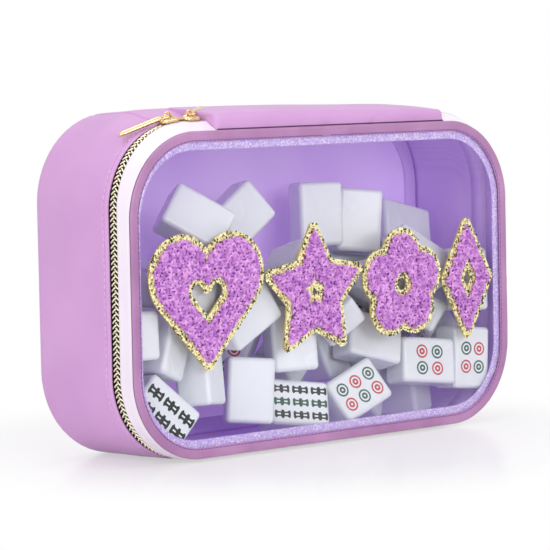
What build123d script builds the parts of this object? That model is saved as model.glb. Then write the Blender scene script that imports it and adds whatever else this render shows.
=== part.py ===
from build123d import *
from math import cos, degrees, floor, hypot, pi, radians, sin, sqrt
import os
import random

import numpy as np

os.makedirs("parts", exist_ok=True)

# Soft zip-round bag with a clear front, full of game tiles. Millimetres, +Z up, +X right, front towards -Y.
# The origin is under the middle of the bag, on the table.

# Front cover, seen square on
ring_width = 286.0
ring_height = 176.0
corner_radius = 47.0
cover_lift = 0.6
depth = 78.0

# Binding round the window, and the clear sheet under it
binding_width = 7.0
binding_depth = 2.5
binding_lip = 1.05
binding_round = 0.9
window_seat = 2.0
window_thickness = 0.8
sewn_gap = 0.05
trim_width = 5.4
trim_thickness = 0.5

# Zip: pale gusset of the cover, two rows of teeth, tapes
gusset_depth = 8.0
gusset_inset = 0.8
gusset_thickness = 1.2
teeth_inset = 1.5
teeth_thickness = 1.8
tooth_length = 2.1
tooth_along = 1.7
tooth_pitch = 3.1
row_gap = 1.8
rail_depth = 1.0
rail_thickness = 1.0
tape_thickness = 0.5
tape_overlap = 3.6
zip_rise = 4.4
zip_left_setback = 16.5
zip_right_setback = 2.0
spare_teeth = 2
end_stop_length = 2.2
end_stop_height = 1.4
end_stop_margin = 0.3

# Bag body behind the zip
wall = 2.0
body_bulge = 2.0
body_rise = 8.4
crest_from_front = 43.0
shoulder_from_back = 6.0
back_inset = 5.0
seam_x = 105.0
edge_gap = 2.1
body_radius = 48.0
seam_clearance = 0.1
lip_rise = 5.6
lip_round = 3.2
lip_clearance = 0.3
hinge_thickness = 0.6
hinge_overlap = 1.8
hinge_end_gap = 1.0
hinge_up = 0.4
hinge_back = 1.0

# Lining inside the body
lining_thickness = 0.6
lining_setback = 4.0
seam_tape_width = 9.0
seam_tape_thickness = 0.6

# Patches sewn on the window, drawn for a clear width of 272 and scaled with it
felt_thickness = 1.2
pile_thickness = 2.6
felt_border = 3.4
patch_drop = 3.6
patch_scale = (ring_width - 2 * binding_width) / 272.0
heart_x = -90.5 * patch_scale
heart_size = 66.0 * patch_scale
heart_hole = 26.0 * patch_scale
heart_lobe = 0.29
heart_spread = 0.27
star_x = -12.5 * patch_scale
star_radius = 34.5 * patch_scale
star_hole = 9.5 * patch_scale
star_waist = 0.52
star_points = 5
flower_x = 55.0 * patch_scale
flower_reach = 16.0 * patch_scale
petal_radius = 12.0 * patch_scale
flower_hole = 7.0 * patch_scale
petals = 5
diamond_x = 107.5 * patch_scale
diamond_width = 35.0 * patch_scale
diamond_height = 62.0 * patch_scale
diamond_hole_width = 14.0 * patch_scale
diamond_hole_height = 26.0 * patch_scale

# Sliders and their pulls
slider_length = 11.0
slider_half_width = 4.8
plate_thickness = 1.4
slider_clearance = 0.25
plate_corner = 2.0
edge_tolerance = 0.1
quarter_turn = 90.0
flange_depth = 0.4
flange_width = 0.9
bridge_thickness = 0.5
bridge_length = 4.0
inner_plate_thickness = 1.1
inner_plate_reach = 2.4
inner_plate_length = 9.5
bail_thickness = 1.2
bail_outer = 2.5
bail_inner = 1.35
bail_sink = 0.4
pivot_height = 1.9
left_angle = 8.0
right_slider_setback = 8.3
crossbar_radius = 0.55
eye_half_width = 3.0
eye_hole_half_width = 2.1
eye_hole_length = 3.3
eye_end = 1.2
pull_length = 29.0
pull_half_width = 1.7
pull_tip_radius = 2.1
pull_thickness = 1.5
left_pull_yaw = 20.0
left_pull_drop = 12.0
right_pull_yaw = 35.0
right_pull_climb = 5.0

# Tiles
tile_long = 36.0
tile_wide = 26.0
tile_thick = 19.5
tile_round = 2.6
tile_count = 44
tile_gap = 0.24
tile_tilt = 24.0
tile_tries = 400
settle_tries = 80
settle_turn = 5.0
settle_shift = 2.5
heap_margin = 0.4
small_slant = 0.05
heap_step = 3.0
fine_steps = 12
heap_drop = 23.4
heap_seed = 11
nudge_step = 1.0
nudge_tries = 40

# Tiles along the foot of the window: place across, gap to the window, roll, lean back, turn to the right
front_tiles = [
    (-113.0, 0.5, -42.0, 6.0, -10.0),
    (118.0, 0.5, 84.0, 4.0, -6.0),
    (-80.0, 1.0, 84.0, 6.0, 30.0),
    (62.0, 22.0, 60.0, 4.0, 24.0),
    (-12.0, 0.5, -8.0, 20.0, -14.0),
    (31.0, 0.5, 24.0, 24.0, -12.0),
    (-46.0, 0.5, 86.0, 6.0, -34.0),
    (4.0, 24.0, 30.0, 2.0, 20.0),
    (-64.0, 24.0, -20.0, 4.0, 10.0),
    (86.0, 0.5, -6.0, 10.0, -10.0),
]

# Tiles on top of the heap: place across, place along the depth, roll, lean back, turn to the right
top_tiles = [
    (27.0, 2.0, 90.0, 3.0, -22.0),
    (54.0, 2.0, 84.0, 6.0, -26.0),
    (-38.0, -2.0, 38.0, 10.0, -12.0),
    (-80.0, -16.0, -34.0, 24.0, -20.0),
    (106.0, 16.0, -16.0, 20.0, 0.0),
]

# Where things lie
patch_proud = felt_thickness + pile_thickness - binding_lip
binding_front = (patch_proud - depth) / 2
binding_back = binding_front + binding_depth
body_back = binding_front + depth
ring_top = cover_lift + ring_height
ring_middle = cover_lift + ring_height / 2
body_top = ring_top + body_rise
window_front = binding_front + binding_lip
window_back = window_front + window_thickness
gusset_back = binding_back + gusset_depth
row_depth = tooth_length + rail_depth
zip_line = gusset_back + row_depth + row_gap / 2
body_edge = zip_line + row_gap / 2 + row_depth + edge_gap
crest_y = binding_front + crest_from_front
shoulder_y = body_back - shoulder_from_back
lip_front = binding_back + lip_clearance
corner_x = corner_radius - ring_width / 2
straight_x = ring_width / 2 - corner_radius
straight_z = (ring_height + zip_rise) / 2 - corner_radius
zip_left_end = zip_left_setback - straight_x
zip_right_end = straight_x - zip_right_setback
zip_middle = (zip_left_end + zip_right_end) / 2
zip_half_span = (zip_right_end - zip_left_end) / 2
right_slider_x = zip_left_end - right_slider_setback
patch_middle_z = ring_middle - patch_drop
corner_z = ring_top + zip_rise - corner_radius
row_radius = corner_radius - teeth_inset
hinge_y = binding_front + hinge_back
hinge_z = ring_top + hinge_up
print(f"hinge axis y {hinge_y:.3f} z {hinge_z:.3f}, corner centre x {corner_x:.3f} z {corner_z:.3f}")


def across(y, z=ring_middle, x=0.0):
    return Plane(origin=(x, y, z), x_dir=(1, 0, 0), z_dir=(0, -1, 0))


def ring_outline(y, inset, rise=0.0):
    with BuildSketch(across(y, ring_middle + rise / 2)) as outline:
        RectangleRounded(ring_width - 2 * inset, ring_height + rise - 2 * inset, corner_radius - inset)
    return outline.sketch


def ring_face(y, outer, inner):
    with BuildSketch(across(y)) as face:
        RectangleRounded(ring_width - 2 * outer, ring_height - 2 * outer, corner_radius - outer)
        RectangleRounded(
            ring_width - 2 * inner, ring_height - 2 * inner, corner_radius - inner, mode=Mode.SUBTRACT
        )
    return face.sketch


# The zip's ring is taller than the front ring and open at the top, where the hinge is
def zip_face(y, outer, inner):
    zip_height = ring_height + zip_rise
    with BuildSketch(across(y, ring_middle + zip_rise / 2)) as face:
        RectangleRounded(ring_width - 2 * outer, zip_height - 2 * outer, corner_radius - outer)
        RectangleRounded(
            ring_width - 2 * inner, zip_height - 2 * inner, corner_radius - inner, mode=Mode.SUBTRACT
        )
        with Locations((zip_middle, zip_height / 2)):
            Rectangle(2 * zip_half_span, 2 * corner_radius, mode=Mode.SUBTRACT)
    return face.sketch


# The body's outline at four places along its depth: y, growth of each side, growth of the top, radius, bottom
stations = [
    (body_edge, 0.0, zip_rise, corner_radius, cover_lift),
    (crest_y, body_bulge, body_rise, body_radius, 0.0),
    (shoulder_y, body_bulge, body_rise, body_radius, 0.0),
    (body_back, body_bulge - back_inset, body_rise - back_inset, body_radius - back_inset, back_inset),
]


def body_face(y, inset):
    after = next((number for number in (1, 2) if y <= stations[number][0]), 3)
    first, last = stations[after - 1], stations[after]
    share = (y - first[0]) / (last[0] - first[0])
    side, top, radius, bottom = [one + share * (two - one) for one, two in zip(first[1:], last[1:])]
    low = bottom + inset
    high = ring_top + top - inset
    with BuildSketch(across(y, (low + high) / 2)) as face:
        RectangleRounded(ring_width + 2 * side - 2 * inset, high - low, radius - inset)
    return face.sketch


def body_faces(front, back, inset):
    return [body_face(y, inset) for y in (front, crest_y, shoulder_y, back)]


def write(piece, name):
    piece.part.label = name
    export_step(piece.part, f"parts/{name}.step")
    print(f"{name}: {len(piece.part.solids())} solids, {piece.part.volume:.0f} mm3")


# Shell of the body, cut afterwards into side band and top panel
with BuildPart() as shell:
    loft(body_faces(body_edge, body_back, 0), ruled=True)
    loft(body_faces(body_edge - wall, body_back + wall, wall), ruled=True, mode=Mode.SUBTRACT)

# Side band: left side, bottom and right side in one strip
with BuildPart() as side_band:
    add(shell.part)
    with BuildSketch(Plane.XY.offset(ring_middle)):
        Rectangle(2 * seam_x + 2 * seam_clearance, 3 * depth)
    extrude(amount=ring_height, mode=Mode.SUBTRACT)
write(side_band, "side_band")

# Top panel: the crown of the bag with its padded front lip between the two zip ends
with BuildPart() as top_panel:
    add(shell.part)
    with BuildSketch(Plane.XY.offset(ring_middle)):
        Rectangle(2 * seam_x, 3 * depth)
    extrude(amount=ring_height, mode=Mode.INTERSECT)
    with BuildSketch(Plane.YZ.offset(zip_middle)):
        with BuildLine():
            Line((lip_front, ring_top - wall), (lip_front, ring_top + lip_rise - lip_round))
            RadiusArc(
                (lip_front, ring_top + lip_rise - lip_round),
                (lip_front + lip_round, ring_top + lip_rise),
                lip_round,
            )
            Polyline(
                (lip_front + lip_round, ring_top + lip_rise),
                (crest_y, body_top),
                (crest_y, body_top - wall),
                (body_edge, ring_top + zip_rise - wall),
                (body_edge, ring_top - wall),
                (lip_front, ring_top - wall),
            )
        make_face()
    extrude(amount=zip_half_span - lip_clearance, both=True)
write(top_panel, "top_panel")

# Back panel
with BuildPart() as back_panel:
    loft([body_face(y, wall + seam_clearance) for y in (body_back - wall, body_back)], ruled=True)
write(back_panel, "back_panel")

# Hinge strip under the lip
with BuildPart() as hinge_strip:
    strip_top = ring_top - wall - seam_clearance
    with BuildSketch(Plane.XY.offset(strip_top)):
        with Locations((zip_middle, (lip_front + body_edge + hinge_overlap) / 2)):
            Rectangle(2 * (zip_half_span - hinge_end_gap), body_edge + hinge_overlap - lip_front)
    extrude(amount=-hinge_thickness)
write(hinge_strip, "hinge_strip")

# Lining: a band all round and a sheet on the back wall, with a tape over their seam
lining_front = body_edge + lining_setback
lining_outer = wall + seam_clearance
lining_inner = lining_outer + lining_thickness
lining_back_y = body_back - wall - seam_clearance
lining_edge = lining_inner + seam_clearance
with BuildPart() as lining_band:
    loft(body_faces(lining_front, lining_back_y, lining_outer), ruled=True)
    loft(body_faces(lining_front - wall, lining_back_y + wall, lining_inner), ruled=True, mode=Mode.SUBTRACT)
write(lining_band, "lining_band")

with BuildPart() as lining_back:
    loft([body_face(y, lining_edge) for y in (lining_back_y - lining_thickness, lining_back_y)], ruled=True)
write(lining_back, "lining_back")

seam_tape_back = lining_back_y - lining_thickness - seam_clearance
with BuildPart() as seam_tape:
    extrude(body_face(seam_tape_back, lining_edge), amount=seam_tape_thickness)
    extrude(
        body_face(seam_tape_back, lining_edge + seam_tape_width),
        amount=seam_tape_thickness,
        mode=Mode.SUBTRACT,
    )
write(seam_tape, "seam_tape")

# Cover: binding, clear window, woven trim seen through its edge, gusset
with BuildPart() as window_binding:
    lip = ring_face(window_front, 0, binding_width)
    extrude(lip, amount=binding_lip)
    rim = ring_face(binding_back, 0, binding_width - window_seat - sewn_gap)
    extrude(rim, amount=binding_depth - binding_lip)
    front_edges = window_binding.faces().sort_by(Axis.Y)[0].edges()
    fillet(front_edges, binding_round)
write(window_binding, "window_binding")

with BuildPart() as window:
    with BuildSketch(across(window_back)):
        pane_inset = binding_width - window_seat
        RectangleRounded(
            ring_width - 2 * pane_inset, ring_height - 2 * pane_inset, corner_radius - pane_inset
        )
    extrude(amount=window_thickness - sewn_gap)
write(window, "window")

with BuildPart() as trim_tape:
    trim_back = window_back + sewn_gap + trim_thickness
    trim_outer = binding_width - window_seat
    extrude(ring_face(trim_back, trim_outer, binding_width + trim_width), amount=trim_thickness)
write(trim_tape, "trim_tape")

with BuildPart() as cover_gusset:
    gusset_front = binding_back + sewn_gap
    gusset_inner = gusset_inset + gusset_thickness
    loft([ring_outline(gusset_front, gusset_inset), ring_outline(gusset_back, gusset_inset, zip_rise)], ruled=True)
    loft(
        [ring_outline(gusset_front, gusset_inner), ring_outline(gusset_back, gusset_inner, zip_rise)],
        ruled=True,
        mode=Mode.SUBTRACT,
    )
    with BuildSketch(across(gusset_back, ring_top + zip_rise, zip_middle)):
        Rectangle(2 * zip_half_span, 2 * corner_radius)
    extrude(amount=gusset_depth, mode=Mode.SUBTRACT)
write(cover_gusset, "cover_gusset")


# Zip: the open path of the teeth runs from the top left end, down, along the bottom and up to the top right end
def tooth_place(distance):
    quarter = row_radius * pi / 2
    runs = [zip_left_setback, quarter, 2 * straight_z, quarter, 2 * straight_x, quarter, 2 * straight_z, quarter]
    runs.append(zip_right_setback)
    x = zip_left_end
    z = straight_z + row_radius
    turn = pi / 2
    for number, run in enumerate(runs):
        step = min(distance, run)
        distance -= step
        if number % 2 == 0:
            x -= step * sin(turn)
            z += step * cos(turn)
        else:
            middle_x = x - row_radius * cos(turn)
            middle_z = z - row_radius * sin(turn)
            turn += step / row_radius
            x = middle_x + row_radius * cos(turn)
            z = middle_z + row_radius * sin(turn)
    return Location((x, z + zip_rise / 2, 0), (0, 0, degrees(turn)))


path_length = zip_left_setback + zip_right_setback + 2 * row_radius * pi + 4 * straight_z + 2 * straight_x
tooth_count = floor(path_length / tooth_pitch) - spare_teeth
first_tooth = (path_length - (tooth_count - 1) * tooth_pitch) / 2


def teeth_face(y, shift):
    places = [tooth_place(first_tooth + shift + number * tooth_pitch) for number in range(tooth_count)]
    with BuildSketch(across(y)) as face:
        with Locations(*places):
            Rectangle(teeth_thickness, tooth_along)
    return face.sketch


rail_outer = teeth_inset - rail_thickness / 2
rail_inner = teeth_inset + rail_thickness / 2
cover_rail_front = gusset_back + sewn_gap
tray_rail_back = zip_line + row_gap / 2 + row_depth
with BuildPart() as cover_teeth:
    extrude(teeth_face(zip_line - row_gap / 2, -tooth_pitch / 4), amount=row_depth - rail_depth / 2)
    rail = zip_face(cover_rail_front + rail_depth, rail_outer, rail_inner)
    extrude(rail, amount=rail_depth)
write(cover_teeth, "cover_teeth")

with BuildPart() as tray_teeth:
    extrude(teeth_face(tray_rail_back - rail_depth / 2, tooth_pitch / 4), amount=row_depth - rail_depth / 2)
    rail = zip_face(tray_rail_back, rail_outer, rail_inner)
    extrude(rail, amount=rail_depth)
write(tray_teeth, "tray_teeth")

# Zip tape under the edge of the body
tape_outer = max(rail_inner, wall) + sewn_gap
with BuildPart() as zip_tape:
    tape_back = body_edge + tape_overlap
    tape = zip_face(tape_back, tape_outer, tape_outer + tape_thickness)
    extrude(tape, amount=tape_back - tray_rail_back + rail_depth / 2 - sewn_gap)
write(zip_tape, "zip_tape")

# Metal stops on the tray's row, at both ends of the zip
with BuildPart() as end_stops:
    stop_offset = end_stop_margin + end_stop_length / 2
    stop_depth = row_depth - end_stop_margin
    stop_y = tray_rail_back - stop_depth / 2
    with BuildSketch(Plane.XY.offset(ring_top + zip_rise - rail_outer + sewn_gap)):
        with Locations((zip_left_end - stop_offset, stop_y), (zip_right_end + stop_offset, stop_y)):
            Rectangle(end_stop_length, stop_depth)
    extrude(amount=end_stop_height)
write(end_stops, "end_stops")


# Patches: a stiff glitter felt and a thick looped pile on it
def heart_outline(size):
    lobe = size * heart_lobe
    apart = size * heart_spread
    tip = -size / 2
    lobe_z = size / 2 - lobe
    reach = hypot(apart, lobe_z - tip)
    touch = sqrt(reach * reach - lobe * lobe)
    along = touch / reach
    aside = lobe / reach
    side_x = touch * (along * apart + aside * (lobe_z - tip)) / reach
    side_z = tip + touch * (along * (lobe_z - tip) - aside * apart) / reach
    with BuildSketch() as outline:
        with Locations((-apart, lobe_z), (apart, lobe_z)):
            Circle(lobe)
        with BuildLine():
            Polyline(
                (0, tip), (side_x, side_z), (apart, lobe_z), (-apart, lobe_z), (-side_x, side_z), (0, tip)
            )
        make_face()
    return outline.sketch


def star_outline(radius):
    points = []
    for number in range(2 * star_points):
        reach = radius if number % 2 == 0 else radius * star_waist
        turn = pi / 2 + number * pi / star_points
        points.append((reach * cos(turn), reach * sin(turn)))
    with BuildSketch() as outline:
        with BuildLine():
            Polyline(*points, points[0])
        make_face()
    return outline.sketch


def flower_outline(reach, petal):
    with BuildSketch() as outline:
        with PolarLocations(reach, petals, start_angle=quarter_turn):
            Circle(petal)
        Circle(reach)
    return outline.sketch


def diamond_outline(width, height):
    with BuildSketch() as outline:
        with BuildLine():
            Polyline((0, -height / 2), (width / 2, 0), (0, height / 2), (-width / 2, 0), (0, -height / 2))
        make_face()
    return outline.sketch


def patch_face(y, x, outline, hole, border):
    with BuildSketch() as flat:
        add(outline)
        if border > 0:
            offset(amount=border)
        with BuildSketch(mode=Mode.PRIVATE) as opening:
            add(hole)
            if border > 0:
                offset(amount=-border)
        add(opening.sketch, mode=Mode.SUBTRACT)
    return across(y, patch_middle_z, x) * flat.sketch


patches = {
    "heart": (heart_x, heart_outline(heart_size), heart_outline(heart_hole)),
    "star": (star_x, star_outline(star_radius), star_outline(star_hole)),
    "flower": (flower_x, flower_outline(flower_reach, petal_radius), Circle(flower_hole)),
    "diamond": (
        diamond_x,
        diamond_outline(diamond_width, diamond_height),
        diamond_outline(diamond_hole_width, diamond_hole_height),
    ),
}
for shape, (x, outline, hole) in patches.items():
    with BuildPart() as felt:
        extrude(patch_face(window_front, x, outline, hole, felt_border), amount=felt_thickness - sewn_gap)
    write(felt, f"{shape}_felt")
    with BuildPart() as pile:
        extrude(patch_face(window_front - felt_thickness, x, outline, hole, 0), amount=pile_thickness)
    write(pile, f"{shape}_pile")


# Sliders ride round the corner's arc, so their plates are parts of that arc
plate_in = row_radius + teeth_thickness / 2 + slider_clearance
plate_out = plate_in + plate_thickness
inner_plate_out = row_radius - teeth_thickness / 2 - slider_clearance
inner_plate_in = inner_plate_out - inner_plate_thickness


def arc_face(y, radius_in, radius_out, middle, length):
    half = degrees(length / 2 / row_radius)
    start = quarter_turn + middle - half
    with BuildSketch(across(y, corner_z, corner_x)) as face:
        with BuildLine():
            outer = CenterArc((0, 0), radius_out, start, 2 * half)
            inner = CenterArc((0, 0), radius_in, start, 2 * half)
            Line(outer @ 0, inner @ 0)
            Line(outer @ 1, inner @ 1)
        make_face()
    return face.sketch


# The same face where the zip runs straight over the top
def line_face(y, radius_in, radius_out, x, length):
    with BuildSketch(across(y, corner_z + (radius_in + radius_out) / 2, x)) as face:
        Rectangle(length, radius_out - radius_in)
    return face.sketch


def pivot_plane(x, middle):
    turn = radians(middle)
    reach = plate_out + pivot_height
    return Plane(
        origin=(x - reach * sin(turn), zip_line, corner_z + reach * cos(turn)),
        x_dir=(cos(turn), 0, sin(turn)),
        z_dir=(0, -1, 0),
    )


def make_slider(plate_face, spot, bail_plane):
    with BuildPart() as slider:
        plate_back = zip_line + slider_half_width
        extrude(plate_face(plate_back, plate_in, plate_out, spot, slider_length), amount=2 * slider_half_width)
        corners = slider.edges().filter_by(lambda edge: abs(edge.length - plate_thickness) < edge_tolerance)
        fillet(corners, plate_corner)
        flange_in = plate_in - flange_depth
        extrude(plate_face(plate_back, flange_in, plate_in, spot, inner_plate_length), amount=flange_width)
        bridge_back = zip_line + bridge_thickness / 2
        extrude(plate_face(bridge_back, inner_plate_in, plate_in, spot, bridge_length), amount=bridge_thickness)
        inner_back = zip_line + inner_plate_reach
        inner_depth = inner_plate_reach + bridge_thickness / 2
        inner = plate_face(inner_back, inner_plate_in, inner_plate_out, spot, inner_plate_length)
        extrude(inner, amount=inner_depth)
        with BuildSketch(bail_plane):
            Circle(bail_outer)
            with Locations((0, -(pivot_height + bail_sink) / 2)):
                Rectangle(2 * bail_outer, pivot_height + bail_sink)
            Circle(bail_inner, mode=Mode.SUBTRACT)
            with Locations((0, -pivot_height / 2)):
                Rectangle(2 * bail_inner, pivot_height, mode=Mode.SUBTRACT)
        extrude(amount=bail_thickness / 2, both=True)
    return slider


def make_pull(pull_plane):
    bar_start = crossbar_radius + eye_hole_length
    with BuildPart() as pull:
        with BuildSketch(pull_plane):
            with Locations(((bar_start + eye_end) / 2, 0)):
                Rectangle(bar_start + eye_end, 2 * eye_half_width)
            with Locations(((bar_start + eye_end + pull_length) / 2, 0)):
                Rectangle(pull_length - bar_start - eye_end, 2 * pull_half_width)
            with Locations((pull_length - pull_tip_radius, 0)):
                Circle(pull_tip_radius)
            with Locations((eye_hole_length / 2, 0)):
                Rectangle(eye_hole_length, 2 * eye_hole_half_width, mode=Mode.SUBTRACT)
        extrude(amount=pull_thickness / 2, both=True)
        with BuildSketch(Plane(pull_plane.origin, x_dir=pull_plane.x_dir, z_dir=pull_plane.y_dir)):
            Circle(crossbar_radius)
        extrude(amount=eye_half_width, both=True)
    return pull


def pull_place(base, side, yaw, lean):
    along = base.x_dir * side
    flat = along * cos(radians(yaw)) + Vector(0, 1, 0) * sin(radians(yaw))
    direction = flat * cos(radians(lean)) + base.y_dir * sin(radians(lean))
    across_bar = flat.cross(base.y_dir)
    up = across_bar.cross(direction)
    return Plane(origin=base.origin, x_dir=direction, z_dir=up)


left_bail = pivot_plane(corner_x, left_angle)
right_bail = pivot_plane(right_slider_x, 0.0)
left_pull_plane = pull_place(left_bail, -1, left_pull_yaw, -left_pull_drop)
right_pull_plane = pull_place(right_bail, 1, right_pull_yaw, right_pull_climb)
write(make_slider(arc_face, left_angle, left_bail), "left_slider")
write(make_slider(line_face, right_slider_x, right_bail), "right_slider")
for name, pull_plane in (("left", left_pull_plane), ("right", right_pull_plane)):
    write(make_pull(pull_plane), f"{name}_pull")
    print(f"{name} pull pivot {pull_plane.origin}, axis {pull_plane.y_dir}, bar {pull_plane.x_dir}")


# Tiles: dropped one by one into the bag, each sunk as low as it will go, then shaken down a little
tile_core = np.array([tile_long, tile_wide, tile_thick]) / 2 - tile_round
tile_signs = np.array([(i, j, k) for i in (-1, 1) for j in (-1, 1) for k in (-1, 1)])
heap_inset = rail_inner + tape_thickness + heap_margin
heap_front = window_back + sewn_gap + trim_thickness + heap_margin
heap_back = shoulder_y
heap_low = cover_lift + heap_inset
heap_high = ring_top - heap_inset
heap_radius = corner_radius - heap_inset
core_reach = heap_radius - tile_round
chance = random.Random(heap_seed)


def spin(axis, angle):
    c, s = cos(angle), sin(angle)
    turn = np.eye(3)
    one, two = [number for number in range(3) if number != axis]
    turn[one, one] = turn[two, two] = c
    turn[one, two] = -s
    turn[two, one] = s
    return turn


def random_pose():
    quarter = spin(chance.randrange(3), pi / 2 * chance.randrange(2))
    quarter = spin(chance.randrange(3), pi / 2 * chance.randrange(2)) @ quarter
    tilt = spin(0, radians(chance.gauss(0, tile_tilt))) @ spin(1, radians(chance.gauss(0, tile_tilt)))
    return tilt @ spin(2, chance.uniform(-pi, pi)) @ quarter


def inside(corners, heights):
    z = corners[None, :, 2] + heights[:, None]
    x = np.broadcast_to(corners[None, :, 0], z.shape)
    over_x = np.maximum(np.abs(x) - straight_x, 0)
    under_z = np.maximum(heap_low + heap_radius - z, 0)
    return (over_x ** 2 + under_z ** 2 <= core_reach ** 2).all(axis=1)


# True for each height where the tile comes closer than the gap to one of the others
def meets(turn, place, heights, others):
    if not others:
        return np.zeros(len(heights), bool)
    turns = np.stack([other[0] for other in others])
    places = np.stack([other[1] for other in others])
    size = tile_core
    apart = 2 * tile_round + tile_gap
    cross = np.einsum("ki,nkj->nij", turn, turns)
    bulk = np.abs(cross)
    away = places[None] - place[None, None]
    away = np.repeat(away, len(heights), axis=0)
    away[:, :, 2] -= heights[:, None]
    mine = away @ turn
    theirs = np.einsum("lnk,nkj->lnj", away, turns)
    clear = (np.abs(mine) > size + bulk @ size + apart).any(axis=2)
    clear |= (np.abs(theirs) > size + np.einsum("nij,i->nj", bulk, size) + apart).any(axis=2)
    for i in range(3):
        one, two = (i + 1) % 3, (i + 2) % 3
        for j in range(3):
            three, four = (j + 1) % 3, (j + 2) % 3
            reach = size[one] * bulk[:, two, j] + size[two] * bulk[:, one, j]
            reach += size[three] * bulk[:, i, four] + size[four] * bulk[:, i, three]
            span = np.abs(mine[:, :, two] * cross[:, one, j] - mine[:, :, one] * cross[:, two, j])
            slant = np.sqrt(np.maximum(1 - cross[:, i, j] ** 2, 0))
            clear |= (span > reach + apart * slant) & (slant > small_slant)
    return (~clear).any(axis=1)


# Lowest height of the tile's middle that it reaches from start without touching, or None
def drop(turn, x, y, start, step, placed):
    corners = (tile_signs * tile_core) @ turn.T
    if y + corners[:, 1].min() < heap_front + tile_round or y + corners[:, 1].max() > heap_back - tile_round:
        return None
    corners[:, 0] += x
    reach = 2 * (hypot(*tile_core) + tile_round) + tile_gap
    near = [other for other in placed if abs(other[1][0] - x) < reach and abs(other[1][1] - y) < reach]
    for fine in (step, step / fine_steps):
        lowest = start - step - fine if fine < step else 0
        heights = np.arange(start, lowest, -fine)
        free = inside(corners, heights) & ~meets(turn, np.array([x, y, 0.0]), heights, near)
        if not free[0]:
            return None
        blocked = np.flatnonzero(~free)
        if len(blocked):
            start = heights[blocked[0] - 1]
        else:
            start = heights[-1]
    over_z = np.maximum(corners[:, 2] + start - heap_high + heap_radius, 0)
    over_x = np.maximum(np.abs(corners[:, 0]) - straight_x, 0)
    return start if (over_x ** 2 + over_z ** 2 <= core_reach ** 2).all() else None


# A tile set upright with its large face to the front, then rolled, leant back and turned
def set_pose(roll, lean, swing):
    upright = np.array([(1.0, 0.0, 0.0), (0.0, 0.0, -1.0), (0.0, 1.0, 0.0)])
    return spin(2, radians(swing)) @ spin(0, -radians(lean)) @ spin(1, radians(roll)) @ upright


# Lets a tile down at the free place nearest to x
def set_down(turn, x, y):
    for number in range(nudge_tries):
        shift = nudge_step * ((number + 1) // 2) * (1 if number % 2 else -1)
        height = drop(turn, x + shift, y, ring_top + heap_drop, heap_step, heap)
        if height is not None:
            heap.append((turn, np.array([x + shift, y, height])))
            return
    print(f"no place near x {x}")


heap = []
for x, gap, roll, lean, swing in front_tiles:
    turn = set_pose(roll, lean, swing)
    reach_forward = ((tile_signs * tile_core) @ turn.T)[:, 1].min()
    set_down(turn, x, heap_front + tile_round + gap - reach_forward)
span_x = ring_width / 2 - heap_inset
for number in range(tile_count - len(front_tiles) - len(top_tiles)):
    best = None
    for _ in range(tile_tries):
        turn = random_pose()
        x = chance.uniform(-span_x, span_x)
        y = chance.uniform(heap_front, heap_back)
        height = drop(turn, x, y, ring_top + heap_drop, heap_step, heap)
        if height is not None and (best is None or height < best[2]):
            best = (turn, np.array([x, y, 0.0]), height)
    turn, place, height = best
    for _ in range(settle_tries):
        nudge = spin(chance.randrange(3), radians(chance.gauss(0, settle_turn))) @ turn
        x = place[0] + chance.gauss(0, settle_shift)
        y = place[1] + chance.gauss(0, settle_shift)
        lower = drop(nudge, x, y, height + heap_step, heap_step / 2, heap)
        if lower is not None and lower < height:
            turn, place, height = nudge, np.array([x, y, 0.0]), lower
    heap.append((turn, np.array([place[0], place[1], height])))
for x, y, roll, lean, swing in top_tiles:
    set_down(set_pose(roll, lean, swing), x, y)
heap_top = max(place[2] + ((tile_signs * tile_core) @ turn.T)[:, 2].max() for turn, place in heap) + tile_round
print(f"heap of {len(heap)} tiles, top at z {heap_top:.1f}")

with BuildPart() as tile:
    Box(tile_long, tile_wide, tile_thick)
    fillet(tile.edges(), tile_round)

tile_kinds = ["bamboo", "dot", "plain", "blank"]
for kind_number, kind in enumerate(tile_kinds):
    planes = []
    for turn, place in heap[kind_number::len(tile_kinds)]:
        planes.append(Plane(tuple(place), x_dir=tuple(turn[:, 0]), z_dir=tuple(turn[:, 2])))
    with BuildPart() as tiles:
        with Locations(*[plane.location for plane in planes]):
            add(tile.part)
    write(tiles, f"{kind}_tiles")
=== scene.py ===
import math
import random
from functools import partial

import bmesh
import bpy
import numpy as np
from mathutils import Matrix, Vector, noise


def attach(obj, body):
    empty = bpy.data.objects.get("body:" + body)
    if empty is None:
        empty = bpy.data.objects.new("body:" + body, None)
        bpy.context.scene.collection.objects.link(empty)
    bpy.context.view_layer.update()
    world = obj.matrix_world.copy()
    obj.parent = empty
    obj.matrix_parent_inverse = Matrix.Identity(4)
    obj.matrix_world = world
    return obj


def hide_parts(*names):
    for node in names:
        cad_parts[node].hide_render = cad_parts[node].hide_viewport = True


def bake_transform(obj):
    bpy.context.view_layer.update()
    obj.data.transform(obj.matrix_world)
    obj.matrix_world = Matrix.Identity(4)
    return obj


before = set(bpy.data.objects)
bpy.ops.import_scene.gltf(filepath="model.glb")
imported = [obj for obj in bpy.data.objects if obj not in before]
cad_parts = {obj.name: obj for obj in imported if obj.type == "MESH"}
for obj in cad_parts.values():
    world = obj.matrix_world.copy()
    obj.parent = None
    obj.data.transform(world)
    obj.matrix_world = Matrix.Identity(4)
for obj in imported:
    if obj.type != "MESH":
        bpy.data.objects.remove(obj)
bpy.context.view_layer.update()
print("frame loaded")

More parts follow.
